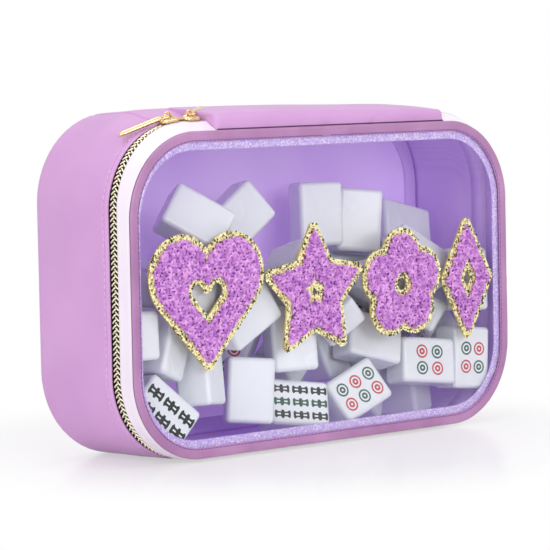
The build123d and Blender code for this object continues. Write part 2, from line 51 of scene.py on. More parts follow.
# Shape code works in millimetres, in the frame of the bag: +X right, front towards -Y, +Z up
mm = 0.001
bag = {
    "halfWidth": 143.0, "low": 0.6, "high": 176.6, "corner": 47.0, "flatHalf": 96.0, "bend": 73.8,
    "upright": 82.0, "bindingBack": -35.125, "gussetBack": -27.125, "zipLine": -23.125, "edge": -17.025,
    "crest": 5.375, "shoulder": 34.375, "back": 40.375, "zipLeft": -79.5, "zipRight": 94.0, "zipRise": 4.4,
}


# Colours are written as sRGB hex
def linear(hexColour):
    channels = [int(hexColour[place:place + 2], 16) / 255 for place in (1, 3, 5)]
    return tuple(c / 12.92 if c <= 0.04045 else ((c + 0.055) / 1.055) ** 2.4 for c in channels) + (1.0,)


# Texture scale at which one unit of a pattern is this many millimetres
def perSize(size):
    return 1 / (size * mm)


def addNode(tree, kind, settings=None, links=None):
    node = tree.nodes.new("ShaderNode" + kind)
    for key, value in (settings or {}).items():
        if isinstance(key, int) or key in node.inputs:
            node.inputs[key].default_value = value
        else:
            setattr(node, key, value)
    for key, (source, output) in (links or {}).items():
        tree.links.new(source.outputs[output], node.inputs[key])
    return node


# An empty material, what adds a node to it, and the link that gives a pattern its place on the piece
def startMaterial(name):
    material = bpy.data.materials.new(name)
    material.use_nodes = True
    material.node_tree.nodes.clear()
    add = partial(addNode, material.node_tree)
    return material, add, {"Vector": (add("TexCoord"), "Object")}


# Two tones in soft clouds, and a roughness that goes with them
def cloudedTone(add, spot, look, detail=2.0, edges=(0.0, 1.0), spread=(-0.05, 0.05)):
    cloud = add("TexNoise", {"Scale": perSize(look["cloud"]), "Detail": detail}, spot)
    share = add("MapRange", {"From Min": edges[0], "From Max": edges[1]}, {"Value": (cloud, "Fac")})
    tone = add("Mix", {"data_type": "RGBA", 6: linear(look["light"]), 7: linear(look["deep"])},
               {0: (share, "Result")})
    lowest, highest = look["rough"] + spread[0], look["rough"] + spread[1]
    rough = add("MapRange", {"To Min": lowest, "To Max": highest}, {"Value": (cloud, "Fac")})
    return {"Base Color": (tone, 2), "Roughness": (rough, "Result")}


# PU-coated imitation leather: a satin skin with a fine pressed grain, a little cloudy in tone
def coatedLeather(name, look):
    material, add, spot = startMaterial(name)
    grain = add("TexVoronoi", {"Scale": perSize(look["grain"]), "feature": "SMOOTH_F1"}, spot)
    bump = add("Bump", {"Strength": look["relief"], "Distance": 0.12 * mm}, {"Height": (grain, "Distance")})
    links = cloudedTone(add, spot, look, detail=3.0, edges=(0.3, 0.7))
    surface = add("BsdfPrincipled", {
        "Specular IOR Level": look["specular"], "Coat Weight": look["coat"], "Coat Roughness": 0.25,
    }, {**links, "Normal": (bump, "Normal")})
    add("OutputMaterial", {}, {"Surface": (surface, "BSDF")})
    return material


# Woven polyester: rows of thread in two directions, matt, with a soft sheen.
# Its emission is a painted glow that lightens the cloth where it lies in shade.
def wovenCloth(name, look):
    material, add, spot = startMaterial(name)
    # a wave of this scale repeats about every two threads, as a plain weave does
    scale = perSize(look["thread"]) / 6.28
    warp = add("TexWave", {"Scale": scale, "bands_direction": "X", "Distortion": 0.4}, spot)
    weft = add("TexWave", {"Scale": scale, "bands_direction": "Z", "Distortion": 0.4}, spot)
    cross = add("Math", {"operation": "MULTIPLY"}, {0: (warp, "Fac"), 1: (weft, "Fac")})
    cloud = add("TexNoise", {"Scale": perSize(45.0), "Detail": 2.0}, spot)
    share = add("Math", {"operation": "MULTIPLY_ADD", 1: 0.35}, {0: (cross, "Value"), 2: (cloud, "Fac")})
    shade = add("MapRange", {"From Min": 0.35, "From Max": 1.0}, {"Value": (share, "Value")})
    tone = add("Mix", {"data_type": "RGBA", 6: linear(look["deep"]), 7: linear(look["light"])},
               {0: (shade, "Result")})
    bump = add("Bump", {"Strength": look["relief"], "Distance": 0.2 * mm}, {"Height": (cross, "Value")})
    surface = add("BsdfPrincipled", {
        "Roughness": look["rough"], "Specular IOR Level": 0.3, "Sheen Weight": look["sheen"],
        "Sheen Roughness": 0.4, "Sheen Tint": linear(look["light"]),
        # painted glow: emission that lightens the shaded cloth
        "Emission Color": linear(look["through"]), "Emission Strength": look["throughShare"],
    }, {"Base Color": (tone, 2), "Normal": (bump, "Normal")})
    add("OutputMaterial", {}, {"Surface": (surface, "BSDF")})
    return material


# Ribbon woven with a metallised thread: lilac ribs that catch the light in small points
def lurexRibbon(name, look):
    material, add, spot = startMaterial(name)
    # thread points are about 0.4 mm in the real ribbon, drawn coarser so that they show
    points = add("TexVoronoi", {"Scale": perSize(look["point"])}, spot)
    chosen = add("SeparateColor", {}, {"Color": (points, "Color")})
    # spark points are painted glints of the metallised thread: cells paler in colour and glossier
    spark = add("MapRange", {"From Min": 0.55, "From Max": 0.95}, {"Value": (chosen, "Red")})
    dark = add("MapRange", {"From Min": 0.6, "From Max": 1.0, "To Max": 0.8}, {"Value": (chosen, "Green")})
    lower = add("Mix", {"data_type": "RGBA", 6: linear(look["light"]), 7: linear(look["deep"])},
                {0: (dark, "Result")})
    tone = add("Mix", {"data_type": "RGBA", 7: linear(look["spark"])}, {0: (spark, "Result"), 6: (lower, 2)})
    rough = add("MapRange", {"To Min": 0.55, "To Max": 0.2}, {"Value": (chosen, "Red")})
    bump = add("Bump", {"Strength": 0.6, "Distance": 0.25 * mm}, {"Height": (points, "Distance")})
    surface = add("BsdfPrincipled", {
        "Specular IOR Level": 0.6, "Sheen Weight": 0.4, "Sheen Tint": linear(look["spark"]),
    }, {"Base Color": (tone, 2), "Roughness": (rough, "Result"), "Normal": (bump, "Normal")})
    add("OutputMaterial", {}, {"Surface": (surface, "BSDF")})
    return material


# Electroplated or metallised surface: bright, with faint polishing marks and darker clouds of tone in places
def platedMetal(name, look):
    material, add, spot = startMaterial(name)
    links = cloudedTone(add, spot, look, detail=4.0, spread=(-0.06, 0.08))
    surface = add("BsdfPrincipled", {"Metallic": 1.0}, links)
    add("OutputMaterial", {}, {"Surface": (surface, "BSDF")})
    return material


# Soft clear PVC: it lets nearly all light through and mirrors more of the room at a slant
def clearVinyl(name, look):
    material, add, spot = startMaterial(name)
    swell = add("TexNoise", {"Scale": perSize(look["swell"]), "Detail": 1.0}, spot)
    bump = add("Bump", {"Strength": 0.35, "Distance": 2.5 * mm}, {"Height": (swell, "Fac")})
    facing = add("LayerWeight", {"Blend": 0.5}, {"Normal": (bump, "Normal")})
    slant = add("Math", {"operation": "POWER", 1: 4.0}, {0: (facing, "Facing")})
    cloud = add("TexNoise", {"Scale": perSize(90.0), "Detail": 2.0}, spot)
    veil = add("MapRange", {
        "From Min": 0.4, "From Max": 0.7, "To Min": look["least"], "To Max": look["haze"],
    }, {"Value": (cloud, "Fac")})
    cover = add("Math", {"operation": "MULTIPLY_ADD", 1: look["mirror"]},
                {0: (slant, "Value"), 2: (veil, "Result")})
    surface = add("BsdfPrincipled", {
        "Base Color": linear(look["tone"]), "Metallic": 1.0, "Roughness": look["rough"],
    }, {"Alpha": (cover, "Value"), "Normal": (bump, "Normal")})
    add("OutputMaterial", {}, {"Surface": (surface, "BSDF")})
    return material


# Yarn pile, acrylic: matt and fuzzy at its edges. Its darker copy on the pad, seen between the loops, is
# painted shade.
def loopedYarn(name, look):
    material, add, spot = startMaterial(name)
    tuft = add("TexNoise", {"Scale": perSize(look["tuft"]), "Detail": 3.0}, spot)
    share = add("MapRange", {"From Min": 0.35, "From Max": 0.65}, {"Value": (tuft, "Fac")})
    tone = add("Mix", {"data_type": "RGBA", 6: linear(look["deep"]), 7: linear(look["light"])},
               {0: (share, "Result")})
    fibre = add("TexNoise", {"Scale": perSize(0.5), "Detail": 2.0}, spot)
    bump = add("Bump", {"Strength": 0.6, "Distance": 0.2 * mm}, {"Height": (fibre, "Fac")})
    surface = add("BsdfPrincipled", {
        "Roughness": 0.85, "Specular IOR Level": 0.2, "Sheen Weight": 0.7, "Sheen Roughness": 0.5,
        "Sheen Tint": linear(look["light"]),
    }, {"Base Color": (tone, 2), "Normal": (bump, "Normal")})
    add("OutputMaterial", {}, {"Surface": (surface, "BSDF")})
    return material


# Melamine game tile, moulded and tumbled smooth: white with a cool shade and a wet-looking polish
def tumbledMelamine(name, look):
    material, add, spot = startMaterial(name)
    links = cloudedTone(add, spot, look, spread=(-0.06, 0.06))
    surface = add("BsdfPrincipled", {"Specular IOR Level": 0.5, "IOR": 1.5}, links)
    add("OutputMaterial", {}, {"Surface": (surface, "BSDF")})
    return material


# Film, foil, thread or ink of one make, slightly uneven in gloss
def plainCoat(name, light, deep, rough, cloud, metallic=0.0):
    material, add, spot = startMaterial(name)
    look = {"light": light, "deep": deep, "rough": rough, "cloud": cloud}
    surface = add("BsdfPrincipled", {"Metallic": metallic}, cloudedTone(add, spot, look))
    add("OutputMaterial", {}, {"Surface": (surface, "BSDF")})
    return material


finishes = {
    "orchid": coatedLeather("pu_leather_orchid", {
        "light": "#DFAEE0", "deep": "#D39FD6", "cloud": 80.0, "grain": 0.9, "relief": 0.18, "rough": 0.45,
        "specular": 0.28, "coat": 0.0,
    }),
    "mauve": coatedLeather("pu_leather_mauve", {
        "light": "#BF8CBA", "deep": "#A674A3", "cloud": 30.0, "grain": 0.9, "relief": 0.2, "rough": 0.42,
        "specular": 0.5, "coat": 0.1,
    }),
    "pale": coatedLeather("patent_pu_pale", {
        "light": "#FFF6FF", "deep": "#F8EAFB", "cloud": 50.0, "grain": 1.2, "relief": 0.05, "rough": 0.22,
        "specular": 0.55, "coat": 0.4,
    }),
    # Both lining finishes carry a painted glow that lightens the cloth inside the bag, where it lies in
    # shade.
    "lining": wovenCloth("polyester_lining", {
        "light": "#DAC0EE", "deep": "#CAAAE4", "thread": 0.7, "relief": 0.0, "rough": 0.6, "sheen": 0.2,
        "through": "#9A70D0", "throughShare": 0.14,
    }),
    # The back sheet's copy is lighter and glows more: a painted lit copy of the same lining, for the wall
    # that catches the light.
    "liningBackLit": wovenCloth("polyester_lining_back_lit", {
        "light": "#E4CDF5", "deep": "#D6B9EE", "thread": 0.7, "relief": 0.0, "rough": 0.6, "sheen": 0.2,
        "through": "#BC98E0", "throughShare": 0.26,
    }),
    "tape": wovenCloth("polyester_zip_tape", {
        "light": "#15121A", "deep": "#08070A", "thread": 0.9, "relief": 0.5, "rough": 0.8, "sheen": 0.0,
        "through": "#08070A", "throughShare": 0.0,
    }),
    "lurex": lurexRibbon("lurex_ribbon", {
        "light": "#C6AAEE", "deep": "#A284D6", "spark": "#F2E8FF", "point": 0.65,
    }),
    "coil": platedMetal("metallised_nylon_coil", {
        "light": "#FFFAE6", "deep": "#F3E6BC", "rough": 0.36, "cloud": 1.5,
    }),
    # the gilt's deep tone is painted reflection: darker clouds standing in for the dark things the polished
    # metal mirrors
    "gilt": platedMetal("gilt_zinc", {"light": "#F8E4B6", "deep": "#C0955A", "rough": 0.14, "cloud": 1.4}),
    "vinyl": clearVinyl("clear_pvc", {
        "tone": "#FFFFFF", "rough": 0.08, "swell": 55.0, "mirror": 0.9, "least": 0.004, "haze": 0.03,
    }),
    "yarn": loopedYarn("chenille_yarn", {"light": "#F2B6F4", "deep": "#B66CCA", "tuft": 2.6}),
    # the pad's darker copy of the yarn is painted shade, seen between the loops
    "yarnShade": loopedYarn("chenille_pile_painted_shade", {"light": "#8E4CA4", "deep": "#5A2870", "tuft": 3.0}),
    "tile": tumbledMelamine("melamine_tile", {
        "light": "#F0F2F9", "deep": "#E2E6F0", "rough": 0.26, "cloud": 24.0,
    }),
    # light and deep tone, roughness, cloud size in millimetres and metallic share
    "thread": plainCoat("polyester_thread", "#EFC9EF", "#E2B6E4", 0.5, 3.0),
    "dullThread": plainCoat("polyester_thread_deep", "#8E5FB4", "#7A4BA2", 0.5, 3.0),
    # dark coat for thin lines: under the lip it is painted shade of the gap, round the binding a thin dark
    # edge line
    "darkLine": plainCoat("dark_line_coat", "#5E3566", "#4A2852", 0.4, 5.0),
    "film": plainCoat("glitter_base", "#E0CE80", "#B09A50", 0.5, 2.0, 0.4),
    "flakeLight": plainCoat("gold_foil_flake", "#FFFBD0", "#FAF0A8", 0.3, 1.0, 0.35),
    "flakeDeep": plainCoat("old_gold_foil_flake", "#E6C868", "#BC9640", 0.28, 1.0, 0.9),
    "flakeDark": plainCoat("black_foil_flake", "#2E2410", "#120C04", 0.35, 1.0),
    "inkDark": plainCoat("engraved_ink_dark", "#16241F", "#0A1210", 0.4, 3.0),
    "inkGreen": plainCoat("engraved_ink_green", "#1E5A44", "#174836", 0.4, 3.0),
    "inkRed": plainCoat("engraved_ink_red", "#D2303C", "#B8202C", 0.4, 3.0),
}
print("materials made:", len(finishes))


# Rows of points joined into a skin; caps names the rows that a face closes
def skin(rows, wrapRows=False, wrapColumns=False, caps=()):
    columns = len(rows[0])
    faces = []
    for row in range(len(rows) if wrapRows else len(rows) - 1):
        below = (row + 1) % len(rows) * columns
        for column in range(columns if wrapColumns else columns - 1):
            after = (column + 1) % columns
            faces.append((row * columns + column, row * columns + after, below + after, below + column))
    for row in caps:
        first = row % len(rows) * columns
        faces.append(tuple(range(first, first + columns)))
    return np.concatenate(rows), faces


def joinShapes(shapes):
    points, faces, start = [], [], 0
    for shapePoints, shapeFaces in shapes:
        points.append(np.asarray(shapePoints, float))
        faces += [tuple(number + start for number in face) for face in shapeFaces]
        start += len(shapePoints)
    return np.concatenate(points), faces


# A round or flattened tube along a path
def tube(path, radius, sides=8, closed=False, flat=1.0, up=(0.31, 0.52, 0.79)):
    path = np.asarray(path, float)
    along = np.roll(path, -1, 0) - np.roll(path, 1, 0) if closed else np.gradient(path, axis=0)
    along /= np.linalg.norm(along, axis=1)[:, None]
    side = np.array(up, float)
    turns = np.arange(sides) * 2 * math.pi / sides
    rings = []
    for place, forward, size in zip(path, along, np.broadcast_to(radius, len(path))):
        side = side - forward * (side @ forward)
        side /= np.linalg.norm(side)
        other = np.cross(forward, side)
        rings.append(place + size * (np.outer(np.cos(turns) * flat, side) + np.outer(np.sin(turns), other)))
    return skin(rows=rings, wrapRows=closed, wrapColumns=True, caps=() if closed else (0, -1))


# A soft hump, 1 high in its middle
def bell(distance, width):
    return np.exp(-(distance / width) ** 2)


def noiseAt(points, size, seed):
    return np.array([noise.noise(Vector(point) / size + Vector((seed, 2 * seed, -seed))) for point in points])


def addObject(name, data):
    added = bpy.data.objects.new(name, data)
    bpy.context.scene.collection.objects.link(added)
    return added


# Makes a mesh piece, gives it its finish and slot, and lets it ride on a body if it has one
def addPiece(name, shape, finish, body, replaced=(), thickness=0.0, facets=False):
    points, faces = shape
    mesh = bpy.data.meshes.new(name)
    mesh.from_pydata((np.asarray(points, float) * mm).tolist(), [], faces)
    if not facets:
        edit = bmesh.new()
        edit.from_mesh(mesh)
        bmesh.ops.recalc_face_normals(edit, faces=edit.faces)
        edit.to_mesh(mesh)
        edit.free()
    mesh.polygons.foreach_set("use_smooth", [not facets] * len(mesh.polygons))
    mesh.materials.append(finishes[finish])
    piece = addObject(name, mesh)
    if thickness:
        shell = piece.modifiers.new("sheet", "SOLIDIFY")
        shell.thickness = thickness * mm
        shell.offset = -1
    if body:
        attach(piece, body)
    if replaced:
        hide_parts(*replaced)
    return piece


# Gives a CAD node that shows as it is its finish
def dressNode(name, finish):
    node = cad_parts[name]
    node.data.materials.clear()
    node.data.materials.append(finishes[finish])
    return node


# Walk round an upright rounded rectangle, clockwise from the middle of its top.
# A step is (side, share): sides 0 and 8 are halves of the top, 1 3 5 7 the corners, 2 right, 4 bottom and
# 6 left. Steps lie closer around the places in near, which are side and share added up.
def ringSteps(spacing, near=(), fine=0.3, fineCount=9):
    top, bend, upright = bag["flatHalf"], bag["bend"], bag["upright"]
    steps = []
    for side, length in enumerate([top, bend, upright, bend, 2 * top, bend, upright, bend, top]):
        shares = list(np.arange(0, 1, min(1, spacing / length)))
        for middle in [place - side for place in near if int(place) == side]:
            around = [middle + number * fine / length for number in range(-fineCount, fineCount + 1)]
            shares = [s for s in shares if abs(s - middle) * length > (fineCount + 1.5) * fine] + around
        steps += [(side, share) for share in sorted(shares)]
    return steps


# Points and outward directions of the walk, as x, z, outX, outZ
def ringWalk(steps, halfWidth, low, high, radius):
    flatX, top, bottom = halfWidth - radius, high - radius, low + radius
    corners = {1: (flatX, top, 90), 3: (flatX, bottom, 0), 5: (-flatX, bottom, -90), 7: (-flatX, top, 180)}
    result = []
    for side, share in steps:
        if side in corners:
            x, z, start = corners[side]
            turn = math.radians(start - 90 * share)
            outX, outZ = math.cos(turn), math.sin(turn)
            result.append((x + radius * outX, z + radius * outZ, outX, outZ))
        elif side in (0, 8):
            result.append((flatX * (share - side / 8), high, 0, 1))
        elif side == 4:
            result.append((flatX * (1 - 2 * share), low, 0, -1))
        elif side == 2:
            result.append((halfWidth, top + share * (bottom - top), 1, 0))
        else:
            result.append((-halfWidth, bottom + share * (top - bottom), -1, 0))
    return np.array(result, float)


# Points of a walk at depth y, moved outwards by push
def atDepth(walk, y, push=0.0):
    x, z, outX, outZ = walk.T
    return np.c_[x + outX * push, np.broadcast_to(y, len(walk)), z + outZ * push]


# The outward directions of a walk as vectors
def outOf(walk):
    return np.c_[walk[:, 2], np.zeros(len(walk)), walk[:, 3]]


# The front ring, drawn in by inset; rise lifts its top
def frontRing(steps, inset, rise=0.0):
    return ringWalk(steps, bag["halfWidth"] - inset, bag["low"] + inset, bag["high"] + rise - inset,
                    bag["corner"] - inset)


# Behind the binding the top of the ring climbs to the zip
def riseAt(y):
    return bag["zipRise"] * float(np.interp(y, [bag["bindingBack"], bag["gussetBack"]], [0, 1]))


# A strip swept round the ring; its profile holds (y, inset) pairs. Unless closed, its ends are capped.
# wave gives each row's shifts outwards and backwards.
def sweptRing(steps, profile, closed=True, wave=None):
    rows = []
    for number, (y, inset) in enumerate(profile):
        walk = frontRing(steps, inset, riseAt(y))
        push, shift = wave(walk, number) if wave else (0.0, 0.0)
        rows.append(atDepth(walk, y + shift, push))
    points, faces = skin(rows, wrapRows=True, wrapColumns=closed)
    if not closed:
        for column in (0, len(steps) - 1):
            faces.append(tuple(row * len(steps) + column for row in range(len(profile))))
    return points, faces


# A sheet of rings drawn in towards the middle of an outline, by share.
# Its waves hold (height, size, seed) and fade out at the rim.
def sheetShape(walk, shares, depths, waves, fadeRate):
    middle = walk[:, 1].mean()
    rows = []
    for share, depth in zip(shares, np.broadcast_to(depths, len(shares))):
        points = np.c_[walk[:, 0] * share, np.full(len(walk), depth), middle + (walk[:, 1] - middle) * share]
        swell = sum(height * np.abs(noiseAt(points, size, seed)) for height, size, seed in waves)
        points[:, 1] += swell * min(1.0, (1 - share) * fadeRate)
        rows.append(points)
    return skin(rows, wrapColumns=True, caps=(-1,))


# Steps of the zip's path: from its right end over the right corner, round the bottom, to its left end
def zipSteps(spacing):
    start, end = bag["zipRight"] / bag["flatHalf"], 9 + bag["zipLeft"] / bag["flatHalf"]
    return [(0, start)] + [step for step in ringSteps(spacing) if start < sum(step) < end] + [(8, end - 8)]


print("shape helpers ready")

# Body: side band, top panel and back panel, sewn from padded sheets
body = {
    "sideGrowth": 2.0, "topRise": 8.4, "radius": 48.0, "backRound": 6.0, "backTurn": 78, "growthBlur": 3.0,
    "hem": -19.4, "hemFold": 7.0, "hemDip": 0.35, "hemDipAt": 3.2, "hemDipWidth": 0.6, "hemReach": 8.0,
    "seamShare": 0.115, "seamDepth": 1.3, "seamWidth": 0.9, "rimFade": 8.0, "floor": 0.02,
    "swell": 0.5, "swellSize": 55.0, "crease": 0.16, "creaseSize": 17.0, "thickness": 0.7, "grid": 2.6,
    "crownAt": [-132, -100, -80, -40, 0, 40, 80, 100, 115, 135],
    "crown": [0.0, 2.0, 2.4, 2.4, 2.1, 1.2, 0.6, -0.6, -1.8, 0.0],
}


# How far the padding has grown behind the zip, from 0 at the edge to 1 at the crest, with soft changes
def bodyGrowth(y):
    knots = [bag["edge"], bag["crest"], bag["shoulder"]]
    blur = np.linspace(-body["growthBlur"], body["growthBlur"], 7)
    here, atEdge = (np.mean(np.interp(place + blur, knots, [0, 1, 1])) for place in (y, bag["edge"]))
    return float(np.clip((here - atEdge) / (1 - atEdge), 0, 1))


# How much higher than the plain outline the padded top stands at x
def crownHeight(x):
    return np.interp(x, body["crownAt"], body["crown"])


def bodyProfile():
    hem, back, roll = body["hem"], bag["back"], body["backRound"]
    profile = [(hem + body["hemFold"], 2.0), (hem + 4, 2.0), (hem + 1.3, 2.0), (hem + 0.4, 1.8), (hem, 1.3)]
    profile += [(hem + 0.3, 0.75), (hem + 1.0, 0.42), (hem + 1.6, 0.1)]
    profile += [(hem + depth, 0.0) for depth in (2.0, 2.7, 3.2, 3.7, 4.5, 5.6)]
    profile += [(y, 0.0) for y in np.arange(hem + 7.5, back - roll, 2.2)]
    for turn in np.radians(np.linspace(0, body["backTurn"], 9)):
        profile.append((back - roll + roll * math.sin(turn), roll * (1 - math.cos(turn))))
    return profile + [(back - 0.9, roll - 0.6), (back - 2.2, roll - 0.4)]


def bodyRow(steps, y, inset):
    growth = bodyGrowth(y)
    side, low = body["sideGrowth"] * growth, bag["low"] * (1 - growth)
    rise = bag["zipRise"] + (body["topRise"] - bag["zipRise"]) * growth
    radius = bag["corner"] + (body["radius"] - bag["corner"]) * growth
    return ringWalk(steps, bag["halfWidth"] + side - inset, low + inset, bag["high"] + rise - inset,
                    radius - inset)


def bodySkin(steps):
    rows = []
    places = np.array([side + share for side, share in steps])
    for y, inset in bodyProfile():
        walk = bodyRow(steps, y, inset)
        points = atDepth(walk, y)
        push = body["swell"] * noiseAt(points, body["swellSize"], 3.1)
        push += body["crease"] * noiseAt(points, body["creaseSize"], 8.7)
        for distance in (y - bag["edge"] - 1, bag["back"] - y):
            push *= np.clip(distance / body["rimFade"], 0, 1)
        if inset < 0.5 and y < body["hem"] + body["hemReach"]:
            push -= body["hemDip"] * bell(y - body["hem"] - body["hemDipAt"], body["hemDipWidth"])
        for seam in seams:
            push -= body["seamDepth"] * bell((places - seam) * bag["bend"], body["seamWidth"])
        points = atDepth(walk, y, push)
        points[:, 2] = np.maximum(points[:, 2], body["floor"])
        onTop = np.clip((walk[:, 3] - 0.3) / 0.7, 0, 1) * bodyGrowth(y)
        fade = float(np.clip((bag["back"] - y) / (bag["back"] - bag["crest"]), 0, 1))
        points[:, 2] += crownHeight(points[:, 0]) * onTop * fade
        rows.append(points)
    return skin(rows)


seams = [1 + body["seamShare"], 8 - body["seamShare"]]
seamSlack = 1e-6
bodySteps = ringSteps(body["grid"], near=seams)
bandSteps = [step for step in bodySteps if seams[0] - seamSlack <= sum(step) <= seams[1] + seamSlack]
topSteps = [step for step in bodySteps if sum(step) >= seams[1] - seamSlack]
topSteps += [step for step in bodySteps if sum(step) <= seams[0] + seamSlack]
sideBand = addPiece("side_band_skin", bodySkin(bandSteps), "orchid", "bag", ["side_band"],
                    thickness=body["thickness"])
topPanel = addPiece("top_panel_skin", bodySkin(topSteps), "orchid", "bag", ["top_panel"],
                    thickness=body["thickness"])

# Back panel: a flat padded sheet set into the band's rolled edge, where it dips
back = {
    "grid": 4.0, "overlap": 0.2, "clear": 0.02, "dip": 2.0, "dipReach": 0.015, "waves": [(-0.25, 40.0, 5.5)],
    "shares": np.array([1.0, 0.995, 0.985, 0.97, 0.94, 0.9, 0.84, 0.76, 0.66, 0.54, 0.4, 0.25, 0.1]),
}
backDepths = bag["back"] - back["clear"] - back["dip"] * np.exp((back["shares"] - 1) / back["dipReach"])
backWalk = bodyRow(ringSteps(back["grid"]), bag["shoulder"], body["backRound"] - back["overlap"])
backPanel = addPiece("back_panel_skin", sheetShape(backWalk, back["shares"], backDepths, back["waves"], 4.0),
                     "orchid", "bag", ["back_panel"])

# Padded lip over the hinge, rolled at its front and rounded at both ends. Puckers hold (x, width, depth).
lip = {
    "front": -34.825, "low": 174.7, "rise": 5.6, "round": 3.2, "left": -79.2, "right": 93.7, "endRound": 2.6,
    "arch": 0.35, "middle": 179.0, "grid": 1.8, "facing": 6.0,
    "puckers": [(0.5, 3.5, 0.8), (35.8, 2.5, 0.7), (-44.0, 3.0, 0.25), (68.0, 3.0, 0.3)],
}


def lipProfile():
    front, roll = lip["front"], lip["round"]
    top, crestTop = bag["high"] + lip["rise"], bag["high"] + body["topRise"]
    profile = [(front + 1.2, lip["low"]), (front + 0.4, lip["low"] + 0.2), (front + 0.05, lip["low"] + 0.8)]
    profile += [(front, z) for z in (176.0, 177.0, 178.0)]
    for turn in np.radians(np.linspace(0, 90, 9)):
        profile.append((front + roll * (1 - math.cos(turn)), top - roll * (1 - math.sin(turn))))
    for share in np.linspace(0, 1, 16)[1:]:
        y = front + roll + share * (bag["crest"] - front - roll)
        profile.append((y, top + share * (crestTop - top) + lip["arch"] * math.sin(math.pi * share)))
    profile += [(bag["crest"], crestTop - 0.8), (-8.0, 180.0), (bag["edge"], lip["low"] + 0.2)]
    return np.array(profile + [(-26.0, lip["low"])])


def lipShape():
    profile, endRound = lipProfile(), lip["endRound"]
    middle = np.array([profile[:, 0].mean(), lip["middle"]])
    away = profile - middle
    length = np.linalg.norm(away, axis=1)[:, None]
    half, centre = (lip["right"] - lip["left"]) / 2, (lip["right"] + lip["left"]) / 2
    ends = list(half - endRound * (1 - np.sin(np.radians(np.linspace(0, 90, 7)))))
    inner = list(np.arange(0, half - endRound - 0.5, lip["grid"]))
    rows = []
    for offset in [-x for x in reversed(inner[1:] + ends)] + inner + ends:
        x = centre + offset
        beyond = max(0.0, abs(offset) - half + endRound) / endRound
        draw = endRound * (1 - math.sqrt(max(0.0, 1 - beyond ** 2)))
        section = middle + away * (1 - draw / np.maximum(length, draw + 0.1))
        section[:, 0] = np.minimum(section[:, 0], bag["crest"])
        y, z = section.T
        facing = np.clip((lip["front"] + lip["facing"] - y) / lip["facing"], 0, 1)
        points = np.c_[np.full(len(section), x), section]
        for puckerX, width, depth in lip["puckers"]:
            fold = depth * bell(x - puckerX, width) * facing
            points[:, 1] += fold * bell(z - 176.4, 1.6)
            points[:, 2] -= 0.5 * fold * bell(z - 180.5, 2.0)
        swell = noiseAt(points, 22.0, 4.4)
        points[:, 1] -= 0.25 * swell * facing
        points[:, 2] += (0.2 * swell + crownHeight(x)) * np.clip((z - 178) / 4, 0, 1)
        rows.append(points)
    return skin(rows, wrapColumns=True, caps=(0, -1))


hingeLip = addPiece("hinge_lip", lipShape(), "orchid", "bag")
# Painted shade: a dark line along the lip's lower front, where the gap under the lip lies in shadow
edgeXs = np.linspace(lip["left"] + 1.2, lip["right"] - 1.2, 90)
lipShadeLine = [(x, lip["front"] - 0.05, lip["low"] + 1.15) for x in edgeXs]
addPiece("lip_gap_painted_shade", tube(lipShadeLine, 0.36, 6, up=(0, 1, 0)), "darkLine", "bag")

# Flexible strip that joins the cover to the lip. It follows the bag up to the lip's edge, and then the cover.
strip = {
    "left": -78.4, "right": 92.9, "thickness": 0.5, "rows": 60,
    "line": [(-15.4, 174.1), (-25.0, 174.1), (-32.0, 174.1), (-34.4, 174.2), (-35.3, 174.6), (-35.9, 175.2)],
}
stripLoop = strip["line"] + [(y + 0.1, z - strip["thickness"]) for y, z in reversed(strip["line"])]
stripXs = np.linspace(strip["left"], strip["right"], strip["rows"])
stripRows = [[(x, y, z) for y, z in stripLoop] for x in stripXs]
hingePiece = addPiece("hinge_strip_cloth", skin(stripRows, wrapColumns=True, caps=(0, -1)), "orchid", None,
                      ["hinge_strip"])
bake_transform(hingePiece)

# Row of stitches along the hem, beside the zip
hemStitch = {"length": 2.6, "pitch": 3.6, "radius": 0.28, "depth": 3.2, "inset": 0.25}


# Stitches along a line of points, each sunk into the sheet at both ends
def stitchRow(line, outward, stitch):
    total = np.r_[0, np.cumsum(np.linalg.norm(np.diff(line, axis=0), axis=1))]
    length, radius = stitch["length"], stitch["radius"]
    shapes = []
    for start in np.arange(stitch["pitch"], total[-1] - stitch["pitch"], stitch["pitch"]):
        along = start + length * np.array([0.0, 0.12, 0.5, 0.88, 1.0])
        path = np.array([[np.interp(a, total, line[:, axis]) for axis in range(3)] for a in along])
        out = np.array([np.interp(start + length / 2, total, outward[:, axis]) for axis in range(3)])
        path += np.outer([-0.3, 0.1, 0.3, 0.1, -0.3], out) * radius
        shapes.append(tube(path, radius * np.array([0.6, 0.95, 1.0, 0.95, 0.6]), 6))
    return joinShapes(shapes)


hemY = body["hem"] + hemStitch["depth"]
hemWalk = bodyRow(zipSteps(2.0), hemY, hemStitch["inset"])
addPiece("hem_stitches", stitchRow(atDepth(hemWalk, hemY), outOf(hemWalk), hemStitch), "thread", "bag")
print("body made")

# Lining: band, back sheet and the tape over their seam. The tape's profile holds (inset, height).
lining = {
    "front": -13.0, "inset": 2.7, "back": 37.4, "rimDepth": 3.0, "ripple": 0.35, "rippleSize": 26.0,
    "rowPitch": 2.6, "waves": [(-0.9, 48.0, 2.2), (-0.2, 16.0, 9.2)],
    "tape": [(0.2, 0.0), (0.2, 0.5), (1.5, 0.7), (4.5, 0.9), (7.5, 0.7), (9.0, 0.5), (9.0, 0.0)],
}


def liningBand():
    steps = ringSteps(3.5)
    rows = []
    for y in np.arange(lining["front"], lining["back"] + 0.5, lining["rowPitch"]):
        walk = bodyRow(steps, y, lining["inset"] + 0.1)
        ripple = noiseAt(atDepth(walk, y), lining["rippleSize"], 6.1) - 0.5
        rows.append(atDepth(walk, y, lining["ripple"] * ripple * min(1.0, (y - lining["front"]) / 6)))
    return skin(rows, wrapColumns=True)


